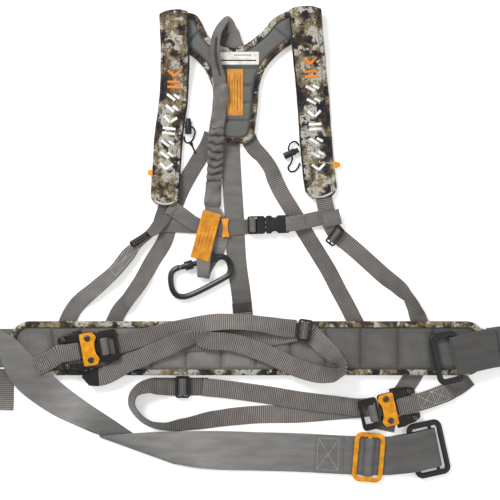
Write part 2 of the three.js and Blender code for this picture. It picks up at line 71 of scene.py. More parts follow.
class Nodes:
    """A small helper that adds and links shader nodes."""

    def __init__(self, name, roughness=0.8, metallic=0.0, sheen=0.0, coat=0.0, specular=0.3):
        self.material = bpy.data.materials.new(name)
        self.material.use_nodes = True
        self.tree = self.material.node_tree
        self.shader = self.tree.nodes["Principled BSDF"]
        self.shader.inputs["Roughness"].default_value = roughness
        self.shader.inputs["Metallic"].default_value = metallic
        self.shader.inputs["Sheen Weight"].default_value = sheen
        self.shader.inputs["Coat Weight"].default_value = coat
        self.shader.inputs["Specular IOR Level"].default_value = specular

    def add(self, kind, **values):
        node = self.tree.nodes.new(kind)
        for key, value in values.items():
            setattr(node, key, value)
        return node

    def link(self, source, target):
        self.tree.links.new(source, target)

    def put(self, node, index, value):
        socket = node.inputs[index]
        if hasattr(value, "is_output"):
            self.link(value, socket)
        else:
            socket.default_value = value

    def math(self, operation, a, b=0.0, c=0.0):
        node = self.add("ShaderNodeMath", operation=operation)
        for index, value in enumerate((a, b, c)):
            self.put(node, index, value)
        return node.outputs[0]

    def vector(self, operation, a, b=(0, 0, 0)):
        node = self.add("ShaderNodeVectorMath", operation=operation)
        self.put(node, 0, a)
        self.put(node, 1, b)
        return node.outputs[0]

    def place(self):
        return self.add("ShaderNodeTexCoord").outputs["Object"]

    def uv(self):
        split = self.add("ShaderNodeSeparateXYZ")
        self.link(self.add("ShaderNodeUVMap").outputs[0], split.inputs[0])
        return split.outputs[0], split.outputs[1]

    def noise(self, at, scale, detail=2.0, rough=0.5):
        node = self.add("ShaderNodeTexNoise")
        self.link(at, node.inputs["Vector"])
        node.inputs["Scale"].default_value = scale
        node.inputs["Detail"].default_value = detail
        node.inputs["Roughness"].default_value = rough
        return node.outputs["Fac"]

    def ramp(self, value, stops, constant=False):
        node = self.add("ShaderNodeValToRGB")
        node.color_ramp.interpolation = "CONSTANT" if constant else "LINEAR"
        elements = node.color_ramp.elements
        while len(elements) < len(stops):
            elements.new(0.5)
        for element, (at, colour) in zip(elements, stops):
            element.position = at
            element.color = colour
        self.link(value, node.inputs[0])
        return node.outputs[0]

    def mix(self, factor, a, b, blend="MIX"):
        node = self.add("ShaderNodeMix", data_type="RGBA", blend_type=blend)
        self.put(node, 0, factor)
        self.put(node, 6, a)
        self.put(node, 7, b)
        return node.outputs[2]

    # Painted light: a per-vertex attribute that paints shade and highlight into the colour
    def painted_light(self):
        return self.add("ShaderNodeAttribute", attribute_name="painted_light").outputs["Fac"]

    def with_painted_light(self, colour):
        """The colour multiplied by the piece's painted light attribute: painted shade below 1, painted
        highlight above 1.
        """
        grey = self.add("ShaderNodeCombineColor")
        for index in range(3):
            self.link(self.painted_light(), grey.inputs[index])
        return self.mix(1.0, colour, grey.outputs[0], "MULTIPLY")

    def finish(self, colour, height=None, strength=0.5, distance=0.0004, roughness=None):
        self.put(self.shader, "Base Color", colour)
        if roughness is not None:
            self.link(roughness, self.shader.inputs["Roughness"])
        if height is not None:
            bump = self.add("ShaderNodeBump")
            bump.inputs["Strength"].default_value = strength
            bump.inputs["Distance"].default_value = distance
            self.link(height, bump.inputs["Height"])
            self.link(bump.outputs[0], self.shader.inputs["Normal"])
        return self.material


RIB_PITCH = 2.7


def ribbed_webbing(name, colour):
    """Grey polyester webbing with ribs across it, finer yarns inside each rib and a plain selvage."""
    n = Nodes(name, roughness=0.72, sheen=0.25, specular=0.35)
    length, across = n.uv()
    rib = n.math("SINE", n.math("MULTIPLY", length, math.tau * 1000 / RIB_PITCH))
    rib = n.math("MULTIPLY_ADD", rib, 0.5, 0.5)
    slant = n.math("ADD", n.math("MULTIPLY", across, 1400.0), n.math("MULTIPLY", length, 900.0))
    yarn = n.math("PINGPONG", slant, 1.0)
    height = n.math("ADD", n.math("MULTIPLY", rib, 0.7), n.math("MULTIPLY", yarn, 0.45))
    wear = n.noise(n.place(), 60.0, 3.0)
    # Painted shade in the rib valleys and painted highlight on the rib crests: the colour follows the
    # weave's height
    base = n.ramp(height, [(0.15, shaded(colour, 0.52)), (0.62, linear(*colour)),
                           (1.0, shaded(colour, 1.38))])
    base = n.mix(0.35, base, n.ramp(wear, [(0.3, (0.55, 0.55, 0.55, 1)), (0.7, (1.25, 1.25, 1.25, 1))]),
                 "MULTIPLY")
    return n.finish(n.with_painted_light(base), height, 0.55, 0.0004)


def herringbone_webbing(name, colour, band, pitch, strength):
    """Wide polyester webbing: fine twill lines that turn back at each band across the width."""
    n = Nodes(name, roughness=0.6, sheen=0.3, specular=0.4)
    length, across = n.uv()
    fold = n.math("PINGPONG", n.math("MULTIPLY", across, 1000.0), band)
    slant = n.math("ADD", n.math("MULTIPLY", length, 1000.0), fold)
    twill = n.math("PINGPONG", n.math("MULTIPLY", slant, 2 / pitch), 1.0)
    yarn = n.math("PINGPONG", n.math("MULTIPLY", across, 1500.0), 1.0)
    height = n.math("ADD", n.math("MULTIPLY", twill, 0.7), n.math("MULTIPLY", yarn, 0.3))
    streak = n.vector("MULTIPLY", n.place(), (25.0, 110.0, 40.0))
    cloud = n.noise(streak, 1.0, 4.0)
    # Painted shade in the low twill lines and painted highlight on the raised ones: the colour follows the
    # weave's height
    base = n.ramp(height, [(0.1, shaded(colour, 1 - strength)), (0.6, linear(*colour)),
                           (1.0, shaded(colour, 1 + strength))])
    base = n.mix(0.5, base, n.ramp(cloud, [(0.3, (0.62, 0.62, 0.62, 1)), (0.7, (1.26, 1.26, 1.26, 1))]),
                 "MULTIPLY")
    return n.finish(n.with_painted_light(base), height, 0.22, 0.0003)


def pixel_camo(name="camo_print"):
    """Printed cloth: a generic pattern of pale, tan, brown and blue-black patches with pixelled edges."""
    n = Nodes(name, roughness=0.85, sheen=0.15, specular=0.2)
    at = n.place()
    cell = n.vector("SNAP", at, (1.5 * MM, 1.5 * MM, 5 * MM))
    small = n.vector("SNAP", at, (0.8 * MM, 0.8 * MM, 5 * MM))
    pale, tan, brown = linear(172, 170, 162), linear(132, 117, 86), linear(70, 57, 43)
    night, mid = linear(30, 32, 40), linear(104, 96, 80)
    grit = n.math("SUBTRACT", n.noise(small, 520.0, 1.0), 0.5)
    shape = n.noise(n.vector("MULTIPLY", cell, (1.0, 0.75, 1.0)), 34.0, 3.5, 0.6)
    shape = n.math("MULTIPLY_ADD", grit, 0.07, shape)
    second = n.noise(n.vector("ADD", cell, (0.7, 0.3, 0.1)), 50.0, 3.5, 0.62)
    second = n.math("MULTIPLY_ADD", grit, 0.08, second)
    base = n.ramp(shape, [(0.0, night), (0.395, brown), (0.445, mid), (0.48, tan), (0.525, pale),
                          (0.6, brown),
                          (0.64, night)], True)
    over = n.ramp(second, [(0.0, pale), (0.41, tan), (0.5, brown), (0.6, night)], True)
    where = n.ramp(second, [(0.0, (1, 1, 1, 1)), (0.42, (0, 0, 0, 1)), (0.555, (1, 1, 1, 1))], True)
    base = n.mix(where, base, over)
    dots = n.ramp(n.noise(small, 300.0, 2.0), [(0.0, (1, 1, 1, 1)), (0.37, (0, 0, 0, 1)),
                                               (0.65, (1, 1, 1, 1))], True)
    base = n.mix(n.math("MULTIPLY", dots, 0.8), base, n.ramp(grit, [(0.0, night), (0.5, night)], True))
    return n.finish(n.with_painted_light(base), n.noise(at, 2600.0, 1.0), 0.25, 0.0002)


def air_mesh(name, colour):
    """Grey spacer mesh: small round holes in a matte knit."""
    n = Nodes(name, roughness=0.9, sheen=0.35, specular=0.15)
    at = n.place()
    holes = n.add("ShaderNodeTexVoronoi")
    n.link(at, holes.inputs["Vector"])
    holes.inputs["Scale"].default_value = 620.0
    holes.inputs["Randomness"].default_value = 0.25
    # Painted shade in the holes of the mesh
    shade = n.ramp(holes.outputs["Distance"], [(0.15, shaded(colour, 0.72)), (0.5, linear(*colour))])
    cloud = n.noise(at, 14.0, 3.0)
    base = n.mix(0.6, shade, n.ramp(cloud, [(0.3, (0.8, 0.8, 0.79, 1)), (0.7, (1.14, 1.14, 1.15, 1))]),
                 "MULTIPLY")
    return n.finish(n.with_painted_light(base), holes.outputs["Distance"], 0.3, 0.0003)


def plain_cloth(name, colour, scale=900.0):
    n = Nodes(name, roughness=0.8, sheen=0.2, specular=0.25)
    at = n.place()
    split = n.add("ShaderNodeSeparateXYZ")
    n.link(at, split.inputs[0])
    warp = n.math("SINE", n.math("MULTIPLY", split.outputs[0], math.tau * scale))
    weft = n.math("SINE", n.math("MULTIPLY", split.outputs[1], math.tau * scale))
    height = n.math("MULTIPLY", warp, weft)
    cloud = n.noise(at, 90.0, 3.0)
    base = n.ramp(cloud, [(0.3, shaded(colour, 0.88)), (0.7, shaded(colour, 1.08))])
    return n.finish(n.with_painted_light(base), height, 0.25, 0.0002)


def moulded(name, colour, roughness, metallic=0.0, coat=0.0, worn=None, specular=0.5):
    """Plastic or coated metal with a fine grain; worn scratches go towards another colour."""
    n = Nodes(name, roughness=roughness, metallic=metallic, coat=coat, specular=specular)
    at = n.place()
    grain = n.noise(at, 1800.0, 2.0)
    cloud = n.noise(at, 120.0, 3.0)
    base = n.ramp(cloud, [(0.3, shaded(colour, 0.85)), (0.7, shaded(colour, 1.12))])
    if worn:
        scratches = n.noise(n.vector("MULTIPLY", at, (1.0, 6.0, 1.0)), 240.0, 5.0, 0.7)
        mask = n.ramp(scratches, [(0.54, (0, 0, 0, 1)), (0.68, (1, 1, 1, 1))])
        base = n.mix(n.math("MULTIPLY", mask, 0.45), base, linear(*worn))
    rough = n.math("MULTIPLY_ADD", grain, 0.18, roughness - 0.09)
    return n.finish(base, grain, 0.12, 0.0002, roughness=rough)


MAT = {
    "camo": pixel_camo(),
    "lining": air_mesh("lining_mesh", (108, 109, 105)),
    "belt_lining": air_mesh("belt_lining_mesh", (118, 116, 112)),
    "webbing": ribbed_webbing("ribbed_webbing", (104, 99, 95)),
    "smooth": herringbone_webbing("fine_webbing", (109, 105, 101), 5.0, 2.2, 0.16),
    "wide": herringbone_webbing("herringbone_webbing", (108, 106, 104), 9.0, 3.6, 0.11),
    "cover": plain_cloth("stretch_cover", (104, 100, 96)),
    "tag": plain_cloth("orange_tag", (212, 140, 40)),
    "label": plain_cloth("orange_label", (208, 143, 62)),
    "ink": plain_cloth("label_print", (132, 82, 26)),
    "white_label": plain_cloth("white_label", (222, 222, 216)),
    "grey_ink": plain_cloth("grey_print", (168, 168, 164)),
    # Dark tape; the same colour paints the shadow in the opening of the tether's fold
    "tape": plain_cloth("dark_tape_and_fold_shadow", (60, 57, 55)),
    "thread": plain_cloth("pale_thread", (205, 202, 196)),
    "dark_thread": plain_cloth("dark_thread", (38, 37, 36)),
    "piping": plain_cloth("pale_piping", (190, 186, 172)),
    "white_print": plain_cloth("white_print", (236, 236, 232)),
    "orange_print": plain_cloth("orange_print", (232, 134, 44)),
    "cord": plain_cloth("black_cord", (30, 30, 31), 1400.0),
    "plastic": moulded("black_plastic", (27, 27, 29), 0.4, specular=0.4),
    "steel": moulded("black_steel", (32, 27, 24), 0.36, 0.3, 0.15, worn=(88, 62, 42), specular=0.35),
    "alloy": moulded("black_alloy", (22, 22, 24), 0.42, 0.15, 0.12),
    "orange": moulded("orange_plate", (216, 144, 22), 0.5, 0.0, 0.0, specular=0.25),
    "orange_plastic": moulded("orange_plastic", (222, 146, 44), 0.5, specular=0.3),
    "rivet": moulded("rivet_steel", (88, 80, 72), 0.3, 0.9),
}


# ---------------------------------------------------------------- meshes
def make_object(name, verts, faces, material, uv=None, painted_light=None, smooth=True):
    """A mesh object from lists in metres; uv is per vertex, in metres along and across."""
    mesh = bpy.data.meshes.new(name)
    mesh.from_pydata([tuple(map(float, v)) for v in verts], [], [tuple(map(int, f)) for f in faces])
    obj = bpy.data.objects.new(name, mesh)
    scene.collection.objects.link(obj)
    mesh.materials.append(MAT[material])
    # Painted light per vertex: 1 keeps the colour, lower values paint shade and higher values paint
    # highlight
    painted_light_levels = np.ones(len(verts)) if painted_light is None else np.asarray(painted_light, float)
    mesh.attributes.new("painted_light", "FLOAT", "POINT").data.foreach_set("value", painted_light_levels)
    if uv is not None:
        loops = np.empty(len(mesh.loops), dtype=np.int32)
        mesh.loops.foreach_get("vertex_index", loops)
        layer = mesh.uv_layers.new(name="UVMap")
        layer.data.foreach_set("uv", np.asarray(uv, float)[loops].ravel())
    if smooth:
        mesh.polygons.foreach_set("use_smooth", [True] * len(mesh.polygons))
    mesh.update()
    return obj


def outward(obj):
    """Turns the faces of a closed mesh outwards."""
    work = bmesh.new()
    work.from_mesh(obj.data)
    bmesh.ops.remove_doubles(work, verts=work.verts, dist=1e-7)
    bmesh.ops.recalc_face_normals(work, faces=work.faces)
    work.to_mesh(obj.data)
    work.free()
    return obj


def claim(obj, nodes=(), body="root"):
    """Rides the piece on its body and hides the CAD nodes it stands for."""
    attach(obj, body)
    if nodes:
        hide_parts(*nodes)
    return obj


# ---------------------------------------------------------------- webbing
UP = Vector((0, 0, 1))


def spline_point(points, span, part):
    """Position and direction on a centripetal Catmull-Rom curve through the points."""
    last = len(points) - 1
    p1, p2 = points[span], points[span + 1]
    p0 = points[span - 1] if span else p1 * 2 - p2
    p3 = points[span + 2] if span + 2 <= last else p2 * 2 - p1
    d0, d1, d2 = ((b - a).length_squared ** 0.25 for a, b in ((p0, p1), (p1, p2), (p2, p3)))
    t1 = ((p1 - p0) / d0 - (p2 - p0) / (d0 + d1) + (p2 - p1) / d1) * d1
    t2 = ((p2 - p1) / d1 - (p3 - p1) / (d1 + d2) + (p3 - p2) / d2) * d1
    c2 = p1 * -3 + p2 * 3 - t1 * 2 - t2
    c3 = p1 * 2 - p2 * 2 + t1 + t2
    at = p1 + t1 * part + c2 * part ** 2 + c3 * part ** 3
    return at, (t1 + c2 * (2 * part) + c3 * (3 * part ** 2)).normalized()


def read_off(at, table, rows):
    """The three columns of rows, interpolated at these lengths of the table."""
    return np.stack([np.interp(at, table, rows[:, k]) for k in range(3)], axis=1)


class Band:
    """The path of a strap: centre, across and normal at any length along it, in millimetres."""

    def __init__(self, route, width, thickness, per_span=14):
        self.width, self.thickness = width, thickness
        points = [Vector(stop[:3]) for stop in route]
        centres, acrosses, widths = [], [], []
        across = None
        for step in range((len(route) - 1) * per_span + 1):
            span = min(step // per_span, len(route) - 2)
            part = step / per_span - span
            at, tangent = spline_point(points, span, part)
            level = UP.cross(tangent)
            flat = level.length
            if flat > 1e-6:
                level.normalize()
            if across is not None:
                if level.dot(across) < 0:
                    level.negate()
                carried = (across - tangent * across.dot(tangent)).normalized()
                share = min(max((flat - 0.15) / 0.35, 0.0), 1.0)
                level = carried.lerp(level, share).normalized()
            across = level.copy()
            ease = part * part * (3 - 2 * part)

            def mixed(k, plain):
                a = route[span][k] if len(route[span]) > k else plain
                b = route[span + 1][k] if len(route[span + 1]) > k else plain
                return a + (b - a) * ease

            turned = Matrix.Rotation(math.radians(mixed(3, 0)), 3, tangent) @ level
            normal = tangent.cross(turned)
            wide = mixed(4, width)
            low = at.z - abs(turned.z) * wide / 2 - abs(normal.z) * thickness / 2
            at.z += max(0.0, -low)
            centres.append(at)
            acrosses.append(turned)
            widths.append(wide)
        self.centres = np.array(centres)
        self.acrosses = np.array(acrosses)
        self.widths = np.array(widths)
        steps = np.linalg.norm(np.diff(self.centres, axis=0), axis=1)
        self.lengths = np.concatenate([[0], np.cumsum(steps)])
        self.length = float(self.lengths[-1])

    @classmethod
    def between(cls, first, second, thickness, per_span=10):
        """A strap between two edge lines. Its cross lines may be skewed, as where it's folded flat."""
        band = cls.__new__(cls)
        a, b = smooth_path(first, per_span), smooth_path(second, per_span)
        band.thickness = thickness
        band.set_stations((a + b) / 2, a - b)
        return band

    def set_stations(self, centres, spans, skewed=True):
        self.widths = np.linalg.norm(spans, axis=1)
        self.acrosses = spans / self.widths[:, None]
        self.centres, self.skewed = centres, skewed
        steps = np.linalg.norm(np.diff(centres, axis=0), axis=1)
        self.lengths = np.concatenate([[0], np.cumsum(steps)])
        self.length = float(self.lengths[-1])
        self.width = float(self.widths[-1])

    def sample(self, lengths):
        """Centres, across, normals and widths at these lengths."""
        centre = read_off(lengths, self.lengths, self.centres)
        across = read_off(lengths, self.lengths, self.acrosses)
        tangent = np.gradient(centre, axis=0)
        tangent /= np.linalg.norm(tangent, axis=1, keepdims=True)
        if not getattr(self, "skewed", False):
            across -= tangent * (across * tangent).sum(axis=1, keepdims=True)
        across /= np.linalg.norm(across, axis=1, keepdims=True)
        normal = np.cross(tangent, across)
        normal /= np.linalg.norm(normal, axis=1, keepdims=True)
        return centre, across, normal, np.interp(lengths, self.lengths, self.widths)


SECTION = [(1, 0.0), (0.985, 0.62), (0.95, 0.94), (0.7, 1.0), (0.35, 1.0), (0, 1.0), (-0.35, 1.0),
           (-0.7, 1.0),
           (-0.95, 0.94), (-0.985, 0.62), (-1, 0.0), (-0.985, -0.62), (-0.95, -0.94), (-0.7, -1.0),
           (-0.35, -1.0),
           (0, -1.0), (0.35, -1.0), (0.7, -1.0), (0.95, -0.94), (0.985, -0.62)]


def ring_faces(rows, sides, closed=False):
    """Faces between neighbouring rings of vertices, with a cap on each end of an open row."""
    faces = []
    for row in range(rows if closed else rows - 1):
        a, b = row * sides, (row + 1) % rows * sides
        faces += [(a + k, a + (k + 1) % sides, b + (k + 1) % sides, b + k) for k in range(sides)]
    if not closed:
        faces += [tuple(range(sides)), tuple((rows - 1) * sides + k for k in range(sides))]
    return faces


def band_mesh(name, band, material, spacing, rib=0.0, painted_light_levels=((0, 1), (1, 1)), crown=0.0):
    """A closed strap with rounded selvages; rib is the height of the ribs across it."""
    count = max(int(band.length / spacing), 4)
    lengths = np.linspace(0, band.length, count + 1)
    centre, across, normal, width = band.sample(lengths)
    v = np.array([s[0] for s in SECTION])
    h = np.array([s[1] for s in SECTION])
    half = band.thickness / 2
    wave = 0.5 + 0.5 * np.cos(math.tau * lengths / RIB_PITCH)
    lift = h[None, :] * half + np.where(abs(h) > 0.9, np.sign(h), 0)[None, :] * rib * (wave[:, None] - 0.6)
    lift = lift + crown * (1 - v[None, :] ** 2)
    verts = (centre[:, None, :] + across[:, None, :] * (v[None, :, None] * width[:, None, None] / 2)
             + normal[:, None, :] * lift[:, :, None])
    sides = len(SECTION)
    verts = verts.reshape(-1, 3) * MM
    uv = np.stack([np.repeat(lengths, sides), (v[None, :] * width[:, None] / 2).ravel()], axis=1) * MM
    rows = np.arange(count)[:, None] * sides
    cols = np.arange(sides)[None, :]
    nxt = (np.arange(sides)[None, :] + 1) % sides
    quads = np.stack([rows + cols, rows + nxt, rows + sides + nxt, rows + sides + cols],
                     axis=-1).reshape(-1, 4)
    faces = [tuple(q) for q in quads.tolist()]
    faces.append(tuple(range(sides))[::-1])
    faces.append(tuple(count * sides + k for k in range(sides)))
    # Painted light along the strap, read from (share of length, level) stops
    level = np.interp(lengths / band.length, [t[0] for t in painted_light_levels], [t[1] for t in painted_light_levels])
    obj = make_object(name, verts, faces, material, uv, np.repeat(level, sides))
    return outward(obj)


WEB_THICK = 1.4
WIDE_THICK = 1.6
WIDE_WIDTH = 54
RIB_STEP = 0.45
RIB_HEIGHT = 0.16
HALF = WEB_THICK / 2
UNDER_BELT = 2.75
# Routes of the webbing: x, y, height of the middle, twist, width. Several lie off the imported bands, and
# some ends run on beneath the pads and the tag. The waist strap's starts after its fold.
ROUTES = {
    "back_strap": [[-5, 300, 1.2], [-5, 276, 1], [0, 190, HALF], [4, 120, HALF], [10, 75, HALF],
        [12, 55, 1], [13, 38, 2.4], [13, 20, UNDER_BELT]],
    "cross_strap_left": [[-31, 300, 1.2], [-38, 282, 1], [-50, 263, HALF], [-73, 222, HALF],
        [-87, 186, HALF], [-97, 150, HALF], [-114, 122, HALF], [-131, 92, 2.6, 14], [-148, 68, 4.2, 26],
        [-161, 51, 2.2, 2], [-169, 34, UNDER_BELT], [-174, 20, UNDER_BELT]],
    "cross_strap_right": [[19, 297, 1.2], [27, 281, 1.2, 6], [40, 267, 3.8, 28], [51, 251, 3.4, 26],
        [58, 234, 1.2, 6], [67, 216, HALF], [80, 195, HALF], [105, 153, HALF], [132, 109, HALF],
        [146, 82, HALF], [158, 60, 1], [167, 42, 2.4], [176, 24, UNDER_BELT]],
    "side_strap_left": [[-93, 216, 4.6], [-93, 208, 4.6], [-94, 199, 4.7], [-98, 186, 5.1],
        [-107, 170, 5.8, 20, 19], [-119, 159, 6.4, 36, 16], [-133, 147, 6.6, 38, 17], [-149, 129, 5.4, 28],
        [-167, 107, 6, 34], [-193, 84, 4.2, 22], [-220, 60, 1.6], [-232, 40, 2.4], [-238, 22, 2.75]],
    "side_strap_right": [[124.5, 224, 4.2], [125.4, 216, 5.2], [126, 207, 7.4], [128, 196, 10],
        [132, 181, 10.4, 0], [138, 167, 7.4], [146, 157, 3.4], [158, 147, 1.2], [170, 137, 0.8],
        [190, 119, 1.2], [211, 100, 2.4, 8], [230, 85, 5.4, 24], [243, 71, 10, 52], [251, 57, 8.6, 40],
        [258, 41, 3.6, 8], [265, 22, 2.75]],
    "chest_strap_left": [[-91, 198, 7.8], [-73, 186.5, 7.4], [-54, 173, 6.2], [-36, 167.4, 5.2],
        [-18, 167, 4.5], [-9, 167.2, 3.8], [-3, 167.6, 3.0], [6, 168.5, 2.85], [20, 170, 2.85],
        [40, 171, 2.9]],
    "chest_anchor_left": [[-51, 171, 2.9], [-62, 171, 2.9], [-84, 172, 2.9], [-112, 173, 2.9]],
    "chest_strap_right": [[64, 173, 2.9], [84, 174, 2.9], [104, 178, 2.9], [124, 182.6, 2.9],
        [132.6, 184.4, 3.8], [135, 185, 5.6], [132.6, 184.4, 7.6], [124, 182.6, 8.4], [110, 179.6, 7.8],
        [98, 176.8, 9.2], [88, 174.8, 12.2], [79, 173.6, 14.2], [72, 173.2, 14.2]],
    "tether": [[0, 396, 1.2, 0, 28], [0.3, 418, 2, 0, 28.5], [-1, 436, 7, 0, 20], [-3, 449, 13, 0, 11],
        [-5.2, 456, 18, 0, 7], [-9, 457.6, 21, 0, 7.5], [-15, 451, 22, 8, 10], [-21.4, 441, 21.4, 18, 12],
        [-25.4, 427, 20.6, 30, 15], [-26, 410, 19.8, 36, 17], [-24, 393, 19, 32, 17],
        [-20.4, 376, 17.6, 12, 18], [-19, 360, 16.6, 0, 17], [-21, 330, 16.2, 0, 17],
        [-24, 308, 15.6, 0, 17], [-25, 290, 15.6, 0, 17], [-26, 268, 9, 0, 17], [-27, 245, 5.4, 0, 17],
        [-29, 215, 4.8, 0, 18], [-30, 196, 5, 0, 21], [-31, 184, 5.8, 0, 22]],
    "tether_cover": [[-18.6, 368, 17.4], [-18, 352, 16.6], [-20.4, 330, 16.2], [-24, 306, 16],
        [-25, 290, 16], [-26, 268, 9.4], [-27, 245, 5.6], [-29, 217, 5], [-30, 198, 5.4]],
    "tether_loop": [[-27, 191, 5.2], [-22, 178, 3.2], [-19, 165, 2.3], [-19, 150, 2.3], [-25, 134, 2.0],
        [-33, 122, 0.9, 0, 18], [-39.4, 110, 0.9, 0, 17], [-41.6, 103, 1.8, 0, 17],
        [-42.4, 99.8, 4.2, 0, 17], [-42.6, 99.2, 7.6, 0, 17], [-42.6, 101.2, 11, 0, 17],
        [-42.6, 106, 12.8, 0, 17], [-42.6, 114, 13.2, 0, 18], [-42, 126, 12.8, 0, 20], [-39, 146, 10.4],
        [-35, 166, 9], [-31, 188, 8]],
    "tether_tag": [[-48, 124, 14.4], [-43, 142, 12.6], [-38, 162, 11], [-30.5, 190, 9.6]],
    "leg_strap_left": [[-182, 3, 15.1], [-160, 5, 15.1], [-128, 7, 15.1], [-92, 8, 15.1], [-50, 9, 15.4],
        [-10, 11, 15.2], [40, 15, 15.2], [66, 19, 16], [90, 24, 17.6, -12], [103, 24, 19, -16],
        [120, 8, 18.6, -2], [136, -7, 20, 24], [148, -17, 24.6, 58], [152, -25, 26.4, 72],
        [147, -32, 26, 66], [134, -36, 24, 40], [112, -33.5, 21.4, 10], [87, -26, 20.6, 0], [41, -5, 20, 0],
        [-6, 10, 20, 4], [-36, 12, 24, -6], [-52, 17, 27.6, -44], [-70, 13, 26, -24], [-92, 3, 22, 4],
        [-118, -7.8, 18.8, 0], [-131, -14, 17.3, 0], [-146, -19, 17.2, 0], [-166, -31, 16.2, 0],
        [-180, -37.6, 15.4], [-192, -39.6, 14.8], [-201, -38.6, 14.6]],
    "leg_strap_left_top": [[-182, 3, 16.9], [-160, 6, 16.9], [-128, 15, 17], [-100, 22, 17.2],
        [-60, 31, 18.6, -14], [-30, 36.8, 20.4, -24], [0, 38, 21.6, -34], [36, 35, 21, -32],
        [66, 30, 20.6, -10], [86, 28, 21.2, 0]],
    "leg_strap_right": [[194, -82, 2.7], [174, -85, 2.5], [140, -88, 1.4], [92, -92, 0.7], [34, -93, 0.7],
        [8, -95, 1.2], [-27, -99, 2.6, -14], [-70, -106, 6.4, -40], [-98, -108.5, 9.6, -58],
        [-118, -104, 10.6, -64], [-134, -92, 11, -64], [-142.4, -77, 11, -63], [-138.6, -62, 10.6, -62],
        [-122, -53, 8, -46], [-104, -53, 4, -22], [-88, -54, 1.4, -6], [-70, -54, 0.7], [-36, -54, 0.7]],
    "leg_strap_right_top": [[194, -81, 4.5], [174, -82.6, 4.4], [140, -79, 3.6], [92, -73, 2.9],
        [50, -66, 2.9], [15, -61, 2.9], [-16, -57, 2.9], [-44, -54.5, 2.9]],
    "leg_riser_right": [[256, -29, UNDER_BELT], [250, -40, 1.4], [238, -58, HALF], [225, -76, HALF],
        [216, -96, HALF], [212, -116, HALF]],
    "waist_strap": [[22, -144, 3], [92, -146, 3], [150, -149, 3.2], [190, -150.5, 3.4], [216, -150.4, 3.6],
        [228, -149, 5.2], [239, -147.4, 9], [250, -145, 12.2], [263, -142.2, 12.2], [274, -139.8, 10.6],
        [281.4, -138.1, 8.9], [284.8, -137.4, 5.2], [281.4, -138.1, 1.4], [272, -140.2, 0.8],
        [250, -145, 0.8], [226, -149.4, 0.8]],
    "ring_webbing": [[356, 1, 0.8], [368, 2.6, 1], [379, 4.6, 3.6], [382, 5.2, 9], [376, 4.2, 14.4],
        [360, 1.6, 15.6], [330, -4.6, 15.5], [313, -8.3, 15.5], [306.8, -9.7, 17], [304.6, -10.2, 20.3],
        [306.8, -9.7, 23.6], [313, -8.3, 25.1], [330, -4.6, 24.2], [350, -0.4, 22], [366, 2.4, 21]],
}

SHOULDERS = {
    "left": ([[-84, 469, 17], [-83, 440, 17], [-82, 410, 16.8], [-83, 375, 9], [-85, 345, 4.6],
              [-91, 300, 4.6],
              [-94, 258, 5.6], [-95, 240, 6.6], [-96.5, 212, 10.6], [-97.5, 200, 11.2]], 40, 1),
    "right": ([[99, 474, 17], [101, 446, 17], [104, 415, 16.8], [108, 376, 9], [111, 346, 4.6],
               [114, 300, 4.6],
               [119, 244, 5], [123, 216, 8], [124, 210.5, 8.6]], 45, -1),
}
QUICK_CONNECTS = {"left": (-200, 0, 14.2, 10), "right": (215, -85, 4, 193)}


def placed(route, place):
    """Stops in a piece's own frame, set in the row frame."""
    x, y, z, degrees = place
    c, s = math.cos(math.radians(degrees)), math.sin(math.radians(degrees))
    return [[x + p[0] * c - p[1] * s, y + p[0] * s + p[1] * c, z + p[2]] + list(p[3:]) for p in route]


def nearest(band, x, y, high=None):
    """The length along the band nearest to a point seen from above."""
    off = np.hypot(band.centres[:, 0] - x, band.centres[:, 1] - y)
    if high is not None:
        off = off + 1000 * ((band.centres[:, 2] > high[0]) != high[1])
    return float(band.lengths[int(off.argmin())])


def tube(name, points, radius, material, sides=12, closed=False, radii=None):
    """A round tube through points in millimetres."""
    points = np.array(points, float)
    ahead = np.roll(points, -1, 0) - np.roll(points, 1, 0)
    if not closed:
        ahead[0], ahead[-1] = points[1] - points[0], points[-1] - points[-2]
    ahead /= np.linalg.norm(ahead, axis=1, keepdims=True)
    side = np.cross(ahead, [0, 0, 1.0])
    weak = np.linalg.norm(side, axis=1) < 1e-3
    side[weak] = [1, 0, 0]
    side /= np.linalg.norm(side, axis=1, keepdims=True)
    up = np.cross(side, ahead)
    turn = np.arange(sides) * math.tau / sides
    size = np.full(len(points), radius) if radii is None else np.array(radii)
    ring = side[:, None] * np.cos(turn)[None, :, None] + up[:, None] * np.sin(turn)[None, :, None]
    verts = (points[:, None] + ring * size[:, None, None]).reshape(-1, 3) * MM
    faces = ring_faces(len(points), sides, closed)
    return outward(make_object(name, verts, faces, material))


def smooth_path(points, per_span=10):
    stops = [Vector(p) for p in points]
    out = [spline_point(stops, i // per_span, i % per_span / per_span)[0]
           for i in range((len(stops) - 1) * per_span)]
    return np.array(out + [stops[-1]], float)


